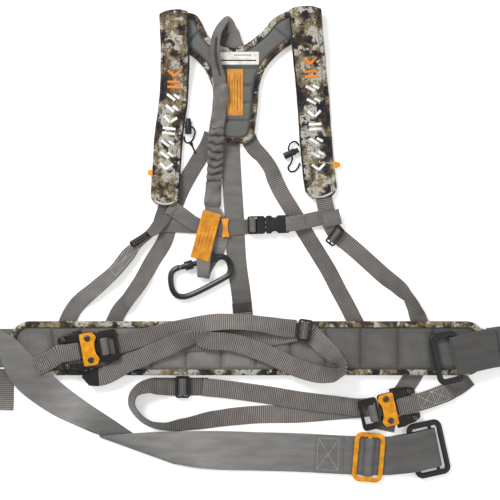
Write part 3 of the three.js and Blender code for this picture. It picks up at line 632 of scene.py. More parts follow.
def dashes(name, runs, material, body, stitch=2.4, pitch=3.3, radius=0.3, sides=6):
    """Stitches along polylines, each one a small spindle of thread."""
    verts, faces = [], []
    for run in runs:
        run = np.array(run, float)
        at = np.concatenate([[0], np.cumsum(np.linalg.norm(np.diff(run, axis=0), axis=1))])
        count = max(int(at[-1] / pitch), 1)
        for k in range(count):
            start = (k + 0.5) * at[-1] / count - stitch / 2
            ends = [np.array([np.interp(t, at, run[:, j]) for j in range(3)])
                    for t in (start, start + stitch)]
            axis = ends[1] - ends[0]
            axis = axis / (np.linalg.norm(axis) + 1e-9)
            side = np.cross(axis, [0, 0, 1.0]) if abs(axis[2]) < 0.9 else np.cross(axis, [1.0, 0, 0])
            side /= np.linalg.norm(side)
            up = np.cross(side, axis)
            first = len(verts)
            for share, size in ((0.0, 0.45), (0.25, 1.0), (0.75, 1.0), (1.0, 0.45)):
                centre = ends[0] + (ends[1] - ends[0]) * share
                for s in range(sides):
                    turn = s * math.tau / sides
                    verts.append((centre + (side * math.cos(turn) + up * math.sin(turn)) * radius * size)
                                 * MM)
            for row in range(3):
                for s in range(sides):
                    a, b = first + row * sides + s, first + row * sides + (s + 1) % sides
                    faces.append((a, b, b + sides, a + sides))
            faces.append(tuple(first + s for s in range(sides))[::-1])
            faces.append(tuple(first + 3 * sides + s for s in range(sides)))
    return claim(make_object(name, verts, faces, material), body=body)


def on_band(band, marks, lift=0.12, step=1.0):
    """Polylines given as (length, offset) stops, laid on the upper face of a band."""
    runs = []
    for mark in marks:
        mark = np.array(mark, float)
        reach = np.concatenate([[0], np.cumsum(np.linalg.norm(np.diff(mark, axis=0), axis=1))])
        fine = np.linspace(0, reach[-1], max(int(reach[-1] / step), 2))
        along, aside = np.interp(fine, reach, mark[:, 0]), np.interp(fine, reach, mark[:, 1])
        table = np.linspace(0, band.length, 900)
        centre, across, normal, _ = band.sample(table)
        face = read_off(along, table, normal)
        face *= np.sign(face[:, 2:3])
        runs.append(read_off(along, table, centre) + read_off(along, table, across) * aside[:, None]
                    + face * (band.thickness / 2 + lift))
    return runs


def box_stitch(low, high, half, cross=True, middle=False):
    marks = [[(low, -half), (high, -half), (high, half), (low, half), (low, -half)]]
    if cross:
        marks += [[(low, -half), (high, half)], [(low, half), (high, -half)]]
    if middle:
        marks.append([((low + high) / 2, -half), ((low + high) / 2, half)])
    return marks


# ---------------------------------------------------------------- webbing pieces
# Width, material and painted light along each strap: painted highlight where a stretch meets the light,
# painted shade where it turns away or lies in shadow
STRAPS = {
    "back_strap": (27, "smooth", ((0, 1.08), (0.7, 0.92), (0.84, 0.5), (0.9, 0.75), (1, 0.8))),
    "cross_strap_left": (22, "webbing", ((0, 0.92), (0.4, 0.88), (0.6, 1.08), (1, 0.8))),
    "cross_strap_right": (22, "webbing", ((0, 0.85), (0.3, 1.25), (0.55, 0.9), (1, 0.95))),
    "side_strap_left": (23, "webbing", ((0, 0.8), (0.3, 0.75), (0.45, 1.0), (0.7, 1.25), (1, 0.85))),
    "side_strap_right": (23, "webbing", ((0, 0.85), (0.35, 1.2), (0.6, 0.95), (0.8, 0.75), (1, 1.15))),
    "chest_strap_left": (20.6, "smooth", ((0, 1.1), (0.3, 0.85), (1, 0.88))),
    "chest_anchor_left": (20.6, "smooth", ((0, 0.9), (1, 0.85))),
    "chest_strap_right": (20.6, "smooth", ((0, 0.9), (0.55, 0.72), (0.7, 0.9), (1, 1.12))),
    "tether": (24, "smooth", ((0, 1.1), (0.1, 1.3), (0.2, 1.25), (0.25, 0.9), (0.35, 0.78), (1, 1.0))),
    "tether_loop": (20.6, "smooth", ((0, 1.35), (0.5, 1.1), (1, 1.2))),
    "leg_strap_left": (25, "webbing", ((0, 0.72), (0.2, 0.9), (0.42, 1.3), (0.5, 0.8), (0.62, 1.2),
                                       (0.85, 1.0), (1, 1.2))),
    "leg_strap_left_top": (25, "webbing", ((0, 0.8), (0.4, 0.95), (0.6, 1.35), (1, 0.9))),
    "leg_strap_right": (25, "webbing", ((0, 0.95), (0.3, 1.25), (0.5, 0.85), (0.75, 0.7), (1, 0.85))),
    "leg_strap_right_top": (25, "webbing", ((0, 1.0), (1, 1.1))),
    "leg_riser_right": (25, "webbing", ((0, 1.1), (1, 1.2))),
}
BANDS = {}
for strap, (width, material, painted_light_levels) in STRAPS.items():
    band = BANDS[strap] = Band(ROUTES[strap], width, WEB_THICK)
    ribbed = material == "webbing"
    piece = band_mesh(strap + "_webbing", band, material, RIB_STEP if ribbed else 1.2,
                      RIB_HEIGHT if ribbed else 0.0, painted_light_levels)
    claim(piece, [strap])
# The waist strap: round the belt's end, down over its corner, folded flat, then straight to the adjuster
LOWER_EDGE = [[-322, -27, 0.8], [-345, -26, 1.4], [-366, -20, 5], [-371, -12, 11], [-362, -4, 17],
              [-345, 2, 18.6],
              [-328, -6, 18.4], [-317, -31, 15.5], [-304, -54, 8.5], [-281, -75, 2.6], [-252, -94, 1.2],
              [-220, -109, 1.0], [-198, -118.5, 1.0], [-188, -122.2, 1.1], [-188.8, -123.6, 2.6],
              [-186, -122.8, 4.2],
              [-140, -118.6, 4.7], [-97, -116.4, 4.5], [-48, -115.6, 3.8]]
UPPER_EDGE = [[-322, 27, 0.8], [-345, 28, 1.4], [-366, 32, 5], [-370, 38, 11], [-360, 42, 17],
              [-346, 37, 19.5],
              [-324, 26, 18.6], [-302, 13, 17.4], [-287, -3, 17], [-262, -27, 15.8], [-236, -52, 6.2],
              [-205, -76, 1.4], [-160, -106, 1.0], [-83.6, -160.2, 1.1], [-82.6, -161.8, 2.6],
              [-78, -162.6, 4.2],
              [-60, -166, 4.6], [-46, -168, 4.3], [-30, -169.4, 3.8]]
folded = Band.between(LOWER_EDGE, UPPER_EDGE, WIDE_THICK, 14)
straight = Band(ROUTES["waist_strap"], WIDE_WIDTH, WIDE_THICK)
waist = BANDS["waist_strap"] = Band.__new__(Band)
waist.thickness = WIDE_THICK
waist.set_stations(np.concatenate([folded.centres, straight.centres]),
                   np.concatenate([folded.acrosses * folded.widths[:, None],
                                   straight.acrosses * straight.widths[:, None]]))
fold_at = nearest(waist, -134, -143) / waist.length
# Painted light along the waist strap: painted highlight on both sides of its fold, painted shade in the
# fold, darker towards its end
claim(band_mesh("waist_strap_webbing", waist, "wide", 1.4, 0.0, (
    (0, 1.0), (fold_at - 0.2, 1.15), (fold_at - 0.13, 1.95), (fold_at - 0.08, 0.85), (fold_at - 0.02, 0.66),
    (fold_at + 0.02, 1.3), (fold_at + 0.09, 1.75), (fold_at + 0.16, 1.4), (fold_at + 0.3, 1.2),
        (0.82, 0.7), (1, 0.5))),
    ["waist_strap"])
BANDS["ring_webbing"] = Band(ROUTES["ring_webbing"], WIDE_WIDTH, WIDE_THICK)
claim(band_mesh("ring_webbing_webbing", BANDS["ring_webbing"], "wide", 1.6, 0.0,
                ((0, 0.5), (0.6, 0.42), (1, 0.4))),
      ["ring_webbing"])
tail = Band([[-335, -29, 2.2], [-335, -50, 1.4], [-335, -70, 1.2], [-335.6, -86, 1.6]], 54, 1.4)
claim(band_mesh("left_end_webbing", tail, "webbing", RIB_STEP, RIB_HEIGHT,
                ((0, 0.85), (0.7, 1.1), (1, 1.35))))
sewn = Band.__new__(Band)
sewn.thickness = 0.5
low, high = nearest(waist, 112, -147, (2, True)), nearest(waist, 153, -149, (2, True))
stops = np.linspace(low, high, 12)
table = np.linspace(0, waist.length, 2400)
centre, across, normal, _ = waist.sample(table)
sewn.set_stations(read_off(stops, table, centre) + read_off(stops, table, normal) * 1.02,
                  read_off(stops, table, across) * 53.6)
BANDS["waist_sewn_end"] = sewn
claim(band_mesh("waist_sewn_end_webbing", sewn, "wide", 1.4, 0.0, ((0, 1.0), (1, 0.92))))
BANDS["belt"] = Band([[-322, 0, 0.8], [-100, 0, 0.8], [120, 0, 0.8], [350, 0, 0.8]], WIDE_WIDTH, WIDE_THICK)
claim(band_mesh("belt_webbing_band", BANDS["belt"], "wide", 3.0), ["belt_webbing"])
TAB = [[-76, 0, 0.9], [-50, 0, 0.9], [-22, 0, 0.9], [-15, 0, 1], [-13.4, 0, 3.2], [-15, 0, 5.4],
       [-21, 0, 5.6],
       [-32, 0, 5.2], [-44, 0, 3.4], [-56, 0, 2.7], [-76, 0, 2.7]]
TABS = {
    "left": [[-78, -10, 0.9], [-52, -4, 0.9]] + TAB[2:9] + [[-54, -4.6, 2.9], [-78, -11, 2.7]],
    "right": [[-121, -17, -1.6], [-100, -8, -0.4]] + TAB[1:9]
        + [[-60, -1, 2.9], [-84, -4, 2.4], [-92, -6, 2.0]],
}
for side, spot in QUICK_CONNECTS.items():
    band = BANDS["tab_" + side] = Band(placed(TABS[side], spot), 25, WEB_THICK)
    piece = band_mesh(f"leg_tab_{side}_webbing", band, "webbing", RIB_STEP, RIB_HEIGHT,
                      ((0, 0.9), (1, 1.1)))
    claim(piece, [f"leg_tab_{side}"])
    end = band.length - (2 if side == "right" else 0)
    if side == "right":
        marks = box_stitch(end - 46, end - 25, 9.5) + box_stitch(end - 25, end - 4, 9.5)
    else:
        marks = box_stitch(end - 20, end - 3, 9.5)
    dashes(f"leg_tab_{side}_stitching", on_band(band, marks),
           "thread" if side == "right" else "dark_thread",
           "root")

# Short turns of webbing over the bars of the moving frames
def turn_over(name, body, place, width, bar, top, material, reach=3.4, drop=1.9):
    """A short ribbon that rises over a bar and dips again on both sides of it."""
    route = [[-reach - 1.0, 0, -drop], [-reach + 0.2, 0, 0.2], [-bar, 0, top - 0.3], [0, 0, top],
             [bar, 0, top - 0.3], [reach - 0.2, 0, 0.2], [reach + 1.0, 0, -drop]]
    band = Band(placed(route, place), width, 1.2)
    ribbed = material == "webbing"
    # Painted shade where the ribbon dips beside the bar, lighter over its top
    painted_light_levels = ((0, 0.5), (0.5, 0.95), (1, 0.5))
    piece = band_mesh(name, band, material, RIB_STEP if ribbed else 0.8, 0.14 if ribbed else 0.0, painted_light_levels)
    claim(piece, body=body)


turn_over("tri_glide_right_turn", "tri_glide_right", (141, 157, 7.8, -36.6), 20, 1.4, 2.2, "webbing")
turn_over("leg_slider_left_turn", "leg_slider_left", (98, 26, 24.4, -8), 23.6, 1.7, 2.4, "webbing", 4.2)
turn_over("leg_slider_right_turn", "leg_slider_right", (-71.5, -54, 5.6, 0), 23.6, 1.7, 2.4, "webbing",
          4.4, 1.2)
turn_over("waist_adjuster_turn", "waist_adjuster", (188, -152, 6.25, -5), 53, 3.2, 2.9, "wide", 6.8, 2.3)
for side, spot in QUICK_CONNECTS.items():
    turn_over(f"buckle_{side}_male_turn", f"buckle_{side}_male",
              placed([[21.4, 0, 8.6]], spot)[0][:3] + [spot[3]],
              24, 2.4, 2.2, "smooth", 4.6, 3.6)
turn_over("chest_male_turn", "chest_male", placed([[-22.1, 0, 10.0]], (48, 172.5, 3.9, 2))[0][:3] + [2.0],
          20, 1.0, 0.6, "smooth", 3.1, 2.6)

# Stitching on the straps
STITCHES = {}
STITCHES["side_strap_left"] = box_stitch(nearest(BANDS["side_strap_left"], -136, 143),
                                         nearest(BANDS["side_strap_left"], -166, 103), 8)
STITCHES["waist_sewn_end"] = box_stitch(3, sewn.length - 7, 22)
back = BANDS["back_strap"]
for row in range(6):
    at = nearest(back, 13, 48.5 - row * 2.0)
    STITCHES.setdefault("back_strap", []).append([(at, -12), (at, 12)])
right = BANDS["chest_strap_right"]
sewn_at = nearest(right, 101, 177.4, (5.6, True))
STITCHES["chest_strap_right"] = [[(sewn_at, -8), (sewn_at, 8)], [(sewn_at + 2.5, -8), (sewn_at + 2.5, 8)]]
STITCHES["chest_strap_left"] = [[(9, -8.5), (9, 8.5)], [(11.5, -8.5), (11.5, 8.5)]]
for strap, marks in STITCHES.items():
    material = {"chest_strap_right": "dark_thread", "chest_strap_left": "dark_thread"}.get(strap, "thread")
    lift = -0.14 if strap == "waist_sewn_end" else 0.12
    dashes(strap + "_stitching", on_band(BANDS[strap], marks, lift), material, "root")
# The inner side of the folded tether, darkened with painted shade; a dark strip of painted shadow along the
# opening of its lengthwise fold; and a taped strap end
inner_side = Band([[-6.6, 458, 12, 0, 5], [-7.4, 453.4, 11, 0, 8], [-9.4, 445.5, 9.6, 0, 12],
                   [-14.6, 435, 8, 0, 13], [-16.4, 424, 6, 0, 9],
                   [-16, 414, 5, 0, 5]], 12, 1.2)
# Painted shade: the tether's inner side is darkened to 0.42 and 0.3
claim(band_mesh("tether_inner_side", inner_side, "smooth", 1.2, 0.0, ((0, 0.42), (1, 0.3))))
# A dark strip that paints the shadow in the opening of the tether's lengthwise fold
opening = Band([[-24, 432, 22.6, 26, 3], [-25.6, 414, 22.2, 34, 4], [-23.4, 396, 21.4, 32, 4.4],
                [-19, 379, 19.4, 14, 2.4]], 3, 0.6)
claim(band_mesh("tether_fold_painted_shadow", opening, "tape", 1.0))
sleeve = Band([[133.5, 191.5, 12.3], [136, 181, 12.3], [138.6, 170.8, 11.6]], 25, 1.2)
claim(band_mesh("side_strap_right_sleeve", sleeve, "smooth", 1.2, 0.0, ((0, 0.9), (0.5, 1.05), (1, 0.8))))
taped = Band([[-188, -39.2, 15.7, 0, 25.6], [-198, -39.4, 15.4, 0, 22], [-210, -36, 15.2, 0, 9]], 24, 2.0)
claim(band_mesh("leg_strap_taped_end", taped, "cord", 1.0))
tape = Band([[10.8, 63.0, 1.75], [12.2, 49.5, 2.2]], 27.2, 0.5)
claim(band_mesh("back_strap_tape", tape, "tape", 1.0))


# ---------------------------------------------------------------- pads
def depth_inside(points, ring):
    """Distance of each point inside a closed ring; outside it is negative."""
    a, b = ring, np.roll(ring, -1, 0)
    best = np.full(len(points), 1e9)
    inside = np.zeros(len(points), bool)
    for (ax, ay), (bx, by) in zip(a, b):
        dx, dy = bx - ax, by - ay
        t = np.clip(((points[:, 0] - ax) * dx + (points[:, 1] - ay) * dy) / (dx * dx + dy * dy), 0, 1)
        best = np.minimum(best, np.hypot(points[:, 0] - ax - t * dx, points[:, 1] - ay - t * dy))
        crosses = (ay > points[:, 1]) != (by > points[:, 1])
        with np.errstate(divide="ignore", invalid="ignore"):
            where = ax + (points[:, 1] - ay) * dx / (dy if dy else 1e-9)
        inside ^= crosses & (points[:, 0] < where)
    return np.where(inside, best, -best)


def pillow(d):
    """A rounded rise from 0 at the edge to 1."""
    d = np.clip(d, 0, 1)
    return np.sqrt(1 - (1 - d) ** 2)


def cushion(name, ring, inset, pitch, top, bottom, material, shade=((-999, 999), (1, 1))):
    """A closed pad: a grid clipped to the ring, with heights given by place and depth."""
    low, high = ring.min(0), ring.max(0)
    nx, ny = (np.ceil((high - low) / pitch).astype(int) + 1).tolist()
    gx, gy = np.meshgrid(low[0] + np.arange(nx) * pitch, low[1] + np.arange(ny) * pitch, indexing="ij")
    flat = np.stack([gx.ravel(), gy.ravel()], axis=1)
    depth = depth_inside(flat, ring) - inset
    keep = depth > -0.7 * pitch
    edge = keep & (depth < 0.35 * pitch)
    where = flat[edge]
    eps = 0.05
    slope = np.stack([depth_inside(where + [eps, 0], ring) - depth_inside(where - [eps, 0], ring),
                      depth_inside(where + [0, eps], ring) - depth_inside(where - [0, eps], ring)], axis=1)
    slope /= np.linalg.norm(slope, axis=1, keepdims=True) + 1e-9
    flat[edge] = where - slope * depth[edge][:, None]
    depth[edge] = 0
    index = np.full(nx * ny, -1)
    index[keep] = np.arange(keep.sum())
    cells = []
    for i in range(nx - 1):
        for j in range(ny - 1):
            quad = [index[(i + a) * ny + j + b] for a, b in ((0, 0), (1, 0), (1, 1), (0, 1))]
            if min(quad) >= 0:
                cells.append(quad)
    x, y, d = flat[keep, 0], flat[keep, 1], depth[keep]
    upper = np.stack([x, y, top(x, y, d)], axis=1)
    lower = np.stack([x, y, bottom(x, y, d)], axis=1)
    total = len(x)
    edges = {}
    for quad in cells:
        for k in range(4):
            pair = (quad[k], quad[(k + 1) % 4])
            edges[pair] = edges.get(pair, 0) + 1
    walls = [(a, b) for a, b in edges if (b, a) not in edges]
    faces = [tuple(q) for q in cells] + [tuple(v + total for v in reversed(q)) for q in cells]
    faces += [(b, a, a + total, b + total) for a, b in walls]
    # Painted shade in the low channels of the pad and lighter on its raised cells, times the painted
    # shading along x given by shade
    share = (upper[:, 2] - upper[:, 2].min()) / max(np.ptp(upper[:, 2]), 0.1)
    painted_light = np.concatenate([(0.62 + 0.42 * share ** 0.8) * np.interp(x, shade[0], shade[1]), np.ones(total)])
    obj = make_object(name, np.concatenate([upper, lower]) * MM, faces, material, painted_light=painted_light)
    work = bmesh.new()
    work.from_mesh(obj.data)
    bmesh.ops.delete(work, geom=[v for v in work.verts if not v.link_faces], context="VERTS")
    bmesh.ops.recalc_face_normals(work, faces=work.faces)
    work.to_mesh(obj.data)
    work.free()
    return obj


def rim_tape(name, ring, low, high, width, material, seed):
    """Binding tape folded round the rim of a pad, with small puckers along its inner edges."""
    ahead = np.roll(ring, -1, 0) - np.roll(ring, 1, 0)
    ahead /= np.linalg.norm(ahead, axis=1, keepdims=True)
    inward = np.stack([-ahead[:, 1], ahead[:, 0]], axis=1)
    steps = np.linalg.norm(np.roll(ring, -1, 0) - ring, axis=1)
    at = np.concatenate([[0], np.cumsum(steps)[:-1]])
    phase = random.Random(seed)
    ripple = sum(np.sin(at / span + phase.uniform(0, 6)) * size
                 for span, size in ((1.9, 0.16), (3.1, 0.2), (6.3, 0.25), (14.0, 0.3)))
    mid, crown = (low + high) / 2, high
    outer = [(width, crown - 0.5, 1), (width - 0.4, crown - 0.05, 1), (width * 0.7, crown, 0.7),
             (width * 0.4, crown - 0.3, 0.3),
             (width * 0.16, crown - 1.5, 0.2), (0.25, mid + 1.6, 0), (0, mid, 0), (0.25, mid - 1.6, 0),
             (width * 0.16, low + 1.5, 0), (width * 0.4, low + 0.3, 0), (width * 0.75, low, 0),
             (width, low + 0.3, 0)]
    inner = [(width, low + 1.1, 0), (width * 0.45, low + 1.2, 0), (width * 0.24, mid - 1.4, 0),
             (1.1, mid, 0),
             (width * 0.24, mid + 1.4, 0), (width * 0.45, crown - 1.2, 0.3), (width * 0.96, crown - 1.1, 1)]
    section = outer + inner
    rows = []
    for inset, height, share in section:
        place = ring + inward * (inset + 0.35 * ripple[:, None] * (inset > width * 0.5))
        rows.append(np.column_stack([place, height + share * np.minimum(ripple * 0.55, 0.3)]))
    verts = np.stack(rows, axis=1).reshape(-1, 3) * MM
    faces = ring_faces(len(ring), len(section), True)
    return outward(make_object(name, verts, faces, material))


def closed_curve(points, per_span):
    """A smooth closed ring through the points."""
    count = len(points)
    loop = [Vector((x, y, 0)) for x, y in points]
    wrapped = [loop[-1]] + loop + [loop[0], loop[1]]
    out = [spline_point(wrapped, 1 + i // per_span, i % per_span / per_span)[0]
           for i in range(count * per_span)]
    return np.array(out)[:, :2]


YOKE_OUTLINE = [
    (-2, 419), (-20, 424), (-35, 435), (-53, 465), (-76, 468), (-96, 462), (-97, 440), (-80, 420),
    (-53, 403),
    (-38, 383), (-30, 362), (-29, 340), (-32, 314), (-29, 294), (-14, 287), (14, 286), (26, 293), (30, 310),
    (33, 335), (36, 368), (46, 393), (66, 414), (92, 432), (108, 448), (104, 466), (84, 472), (58, 462),
    (37, 440),
    (14, 423)]
yoke_ring = closed_curve(YOKE_OUTLINE, 18)


def rounded_ring(left, right, low, high, radius, step=1.6):
    out = []
    for cx, cy, start in ((right - radius, low + radius, -90), (right - radius, high - radius, 0),
                          (left + radius, high - radius, 90), (left + radius, low + radius, 180)):
        out += [(cx + radius * math.cos(math.radians(start + a)),
                 cy + radius * math.sin(math.radians(start + a)))
                for a in range(0, 91, 5)]
    dense = []
    for a, b in zip(out, out[1:] + out[:1]):
        pieces = max(int(math.dist(a, b) / step), 1)
        dense += [(a[0] + (b[0] - a[0]) * k / pieces, a[1] + (b[1] - a[1]) * k / pieces)
                  for k in range(pieces)]
    return np.array(dense)


belt_ring_line = rounded_ring(-312, 351, -37.5, 38, 28)
BELT_CHANNELS = [-214, -165, -116, -67, -18, 30, 78, 127, 176, 228, 277]
YOKE_CHANNELS = [391, 367, 343, 318]


def rounded_meet(a, b):
    """A distance that rounds the corner where two distances meet."""
    a, b = np.maximum(a, 0), np.maximum(b, 0)
    return a + b - np.hypot(a, b)


def belt_top(x, y, d):
    """Height of the belt lining, with its pressed channels."""
    gap = np.min([abs(x - c) for c in BELT_CHANNELS] + [abs(x + 245 + (y + 37) * 0.14)], axis=0)
    soft = 0.18 * np.sin(x / 7.1 + y / 5.3) * np.sin(x / 17.0 - y / 9.0)
    return 11.3 + 2.3 * pillow(rounded_meet(gap - 2.2, d - 3.5) / 7.5) + soft * np.clip(d / 8, 0, 1)


def yoke_top(x, y, d):
    """Height of the yoke lining, with channels across its trunk and both arms."""
    gap = np.full(len(x), 50.0)
    trunk = y < 396
    for c in YOKE_CHANNELS:
        gap = np.where(trunk | (abs(y - c) < 5), np.minimum(gap, abs(y - c)), gap)
    for (ax, ay), (bx, by) in (((-67, 424), (-45, 446)), ((50, 452), (80, 429))):
        dx, dy = bx - ax, by - ay
        long = math.hypot(dx, dy)
        t = ((x - ax) * dx + (y - ay) * dy) / long
        off = abs((x - ax) * dy - (y - ay) * dx) / long
        gap = np.where((t > -20) & (t < long + 20), np.minimum(gap, off), gap)
    soft = 0.15 * np.sin(x / 8.1 + y / 6.3)
    return 9.5 + 1.9 * pillow(rounded_meet(gap - 1.4, d - 3.0) / 6.5) + soft * np.clip(d / 8, 0, 1)


def flat_at(height):
    """A level face at one height."""
    return lambda x, y, d: np.full(len(x), height)


def under(base, rise):
    """A lower face that rises towards the rim."""
    return lambda x, y, d: base + rise * (1 - pillow(d / 9))


# Painted shading across the belt lining: lightest left of the middle, darkest at the right end
lining = cushion("belt_lining_mesh_pad", belt_ring_line, 7, 1.5, belt_top, flat_at(10.0), "belt_lining",
                 ((-300, -220, -110, 20, 120, 300), (0.84, 0.9, 1.28, 1.2, 0.78, 0.62)))
claim(lining, ["belt_lining"])
back_cloth = cushion("belt_pad_cloth", belt_ring_line, 7, 3.0, flat_at(9.4), under(4.2, 1.2), "camo")
claim(back_cloth, ["belt_pad"])
claim(rim_tape("belt_binding_tape", belt_ring_line, 4.2, 13.0, 8.4, "camo", 3), ["belt_binding"])
lining = cushion("back_lining_mesh_pad", yoke_ring, 7, 1.3, yoke_top, flat_at(8.2), "lining")
claim(lining, ["back_lining"])
back_cloth = cushion("back_pad_cloth", yoke_ring, 7, 2.5, flat_at(7.8), under(2.9, 1.2), "camo")
claim(back_cloth, ["back_pad"])
claim(rim_tape("back_binding_tape", yoke_ring, 2.9, 11.3, 8.2, "camo", 5), ["back_binding"])


# Shoulder pads: a quilted camouflage pad with an edge seam, a zip and a piped tip
PAD_THICK = 9.0
PAD_HALF = 4.4


def pad_lift(v):
    """Height of a pad's upper face over its middle, as a share of its half thickness."""
    v = np.abs(v)
    crown = np.sqrt(np.clip(1 - v ** 3.2, 0, 1))
    seam = np.exp(-((v - 0.74) / 0.045) ** 2) * 0.3
    return crown - seam


def pad_width(band, lengths, width, tip=16.0):
    near = np.clip((lengths - (band.length - tip)) / tip, 0, 1)
    wave = 0.5 * np.sin(lengths / 9.0) + 0.35 * np.sin(lengths / 4.1 + 1)
    return (width - 0.6 + wave * 0.6) * np.sqrt(1 - 0.62 * near ** 2.4)


for side, (route, width, inner) in SHOULDERS.items():
    band = Band(route, width, PAD_THICK)
    lengths = np.linspace(0, band.length, int(band.length / 1.5))
    centre, across, normal, _ = band.sample(lengths)
    flip = np.sign(normal[:, 2:3])
    normal = normal * flip
    across = across * np.sign(across[:, :1])
    wide = pad_width(band, lengths, width)
    v = np.concatenate([np.linspace(-1, 1, 41), np.linspace(1, -1, 21)[1:-1]])
    top = np.arange(len(v)) < 41
    h = np.where(top, pad_lift(v), -0.92 * np.sqrt(np.clip(1 - np.abs(v) ** 3.2, 0, 1)))
    fade = np.clip((band.length - lengths) / 10, 0.35, 1) * np.clip((lengths + 3) / 8, 0.5, 1)
    dimple = 1 + 0.05 * np.sin(lengths[:, None] / 6.0 + v[None, :] * 3) * np.sin(lengths[:, None] / 15.0)
    lift = PAD_HALF * h[None, :] * fade[:, None] * dimple
    along = np.gradient(centre, axis=0)
    along /= np.linalg.norm(along, axis=1, keepdims=True)
    start = np.exp(-lengths / 7.0)[:, None, None] * (
        4.2 * np.abs(v) ** 2.4 - 2.2 - 1.2 * v * inner)[None, :, None]
    centre = centre - normal * (2.6 * np.exp(-lengths / 4.0))[:, None]
    verts = (centre[:, None] + across[:, None] * (v[None, :] * wide[:, None] / 2)[..., None]
             + normal[:, None] * lift[..., None])
    verts = verts + along[:, None] * start
    faces = ring_faces(len(lengths), len(v))
    pad = outward(make_object(f"shoulder_pad_{side}_cushion", verts.reshape(-1, 3) * MM, faces, "camo"))
    claim(pad, [f"shoulder_pad_{side}"])

    def pad_point(along, aside, lift_more=0.0, band=band, width=width, centre=centre, across=across,
                  normal=normal,
                  lengths=lengths):
        along, aside = np.atleast_1d(along).astype(float), np.atleast_1d(aside).astype(float)
        fall = np.clip((band.length - along) / 10, 0.35, 1)
        rise = PAD_HALF * pad_lift(aside / (width / 2)) * fall + lift_more
        return (read_off(along, lengths, centre) + read_off(along, lengths, across) * aside[:, None]
                + read_off(along, lengths, normal) * rise[:, None])

    edge = np.linspace(6, band.length - 10, 160)
    reach = pad_width(band, edge, width) / 2 - 0.6
    zip_line = pad_point(edge, inner * (reach + 0.2), 0)
    zip_line[:, 2] = np.interp(edge, lengths, centre[:, 2]) + 1.2
    claim(tube(f"shoulder_{side}_zip_tape", zip_line, 1.25, "cord", 8))
    teeth = zip_line + [0, 0, 1.2]
    dashes(f"shoulder_{side}_zip_teeth", [teeth], "plastic", "root", 1.0, 2.0, 0.5)
    for row, sign in (("outer", -inner), ("inner", inner)):
        seam = pad_point(edge, sign * (width / 2) * 0.66, 0.05)
        dashes(f"shoulder_{side}_{row}_stitching", [seam], "tape", "root", 2.2, 3.2, 0.26)
    tip = np.linspace(-1, 1, 25)
    last = pad_width(band, np.array([band.length]), width)[0] / 2
    tip_line = pad_point(band.length - 1.0 - 4.0 * tip ** 2, tip * (last + 1.2), 0)
    tip_line[:, 2] = centre[-1, 2] + 1.0
    claim(tube(f"shoulder_{side}_tip_piping", tip_line, 1.5, "piping", 10))

    # Plain printed marks in place of lettering
    marks = []
    start = nearest(band, centre[0, 0], 388 if side == "left" else 402)
    pitch = 16.4 if side == "left" else 18.6
    for k in range(9):
        at = start + k * pitch
        if k in (0, 4, 8):
            marks.append((k, [(at, -9), (at + 8, 0), (at, 9)]))
        elif k in (1, 5):
            marks.append((k, [(at, -9), (at, 9)]))
            marks.append((k, [(at + 7, -9), (at + 7, 9)]))
        else:
            marks.append((k, [(at + 1, -9), (at + 9, 3)]))
            marks.append((k, [(at + 1, 1), (at + 6, 9)]))
    for colour, chosen in (("orange_print", (0, 1)), ("white_print", range(2, 9))):
        verts, faces = [], []
        for k, line in marks:
            if k not in chosen:
                continue
            line = np.array(line, float)
            for a, b in zip(line[:-1], line[1:]):
                direction = (b - a) / np.linalg.norm(b - a)
                side_step = np.array([-direction[1], direction[0]]) * 1.9
                steps = np.linspace(0, 1, 12)
                first = len(verts)
                for level in (0.28, -0.5):
                    for s in steps:
                        for way in (-1, 0, 1):
                            spot = a + (b - a) * s + side_step * way
                            verts.append(pad_point(spot[0], spot[1], level)[0] * MM)
                for i in range(11):
                    for w in range(2):
                        q = [first + i * 3 + w, first + i * 3 + w + 1, first + i * 3 + w + 4,
                             first + i * 3 + w + 3]
                        faces.append(tuple(q))
                        faces.append(tuple(p + 36 for p in reversed(q)))
                    for w in (0, 2):
                        faces.append((first + i * 3 + w, first + i * 3 + w + 3, first + i * 3 + w + 39,
                                      first + i * 3 + w + 36))
                for i in (0, 11):
                    for w in range(2):
                        faces.append((first + i * 3 + w, first + i * 3 + w + 1, first + i * 3 + w + 37,
                                      first + i * 3 + w + 36))
        claim(outward(make_object(f"shoulder_{side}_{colour}", verts, faces, colour)))


# ---------------------------------------------------------------- labels and small cloth pieces
def slip(name, x0, x1, y0, y1, height, thick, material, body="root"):
    """A thin rectangular piece of cloth over a surface given by height(x, y)."""
    nx, ny = max(int((x1 - x0) / 1.2), 2), max(int((y1 - y0) / 1.2), 2)
    gx, gy = np.meshgrid(np.linspace(x0, x1, nx), np.linspace(y0, y1, ny), indexing="ij")
    z = height(gx.ravel(), gy.ravel())
    upper = np.column_stack([gx.ravel(), gy.ravel(), z + thick])
    lower = np.column_stack([gx.ravel(), gy.ravel(), z])
    n = nx * ny
    faces = []
    for i in range(nx - 1):
        for j in range(ny - 1):
            q = (i * ny + j, (i + 1) * ny + j, (i + 1) * ny + j + 1, i * ny + j + 1)
            faces += [q, tuple(k + n for k in reversed(q))]
    border = ([i * ny for i in range(nx)] + [(nx - 1) * ny + j for j in range(1, ny)]
              + [i * ny + ny - 1 for i in range(nx - 2, -1, -1)] + [j for j in range(ny - 2, 0, -1)])
    faces += [(a, b, b + n, a + n) for a, b in zip(border, border[1:] + border[:1])]
    return claim(outward(make_object(name, np.concatenate([upper, lower]) * MM, faces, material)),
                 body=body)


def over_yoke(x, y):
    """Height of a label that lies on the yoke and dips at its channels."""
    dip = sum(np.exp(-((y - c) / 3.0) ** 2) for c in YOKE_CHANNELS)
    return 11.75 - 0.45 * dip + 0.1 * np.sin(y / 4.0)


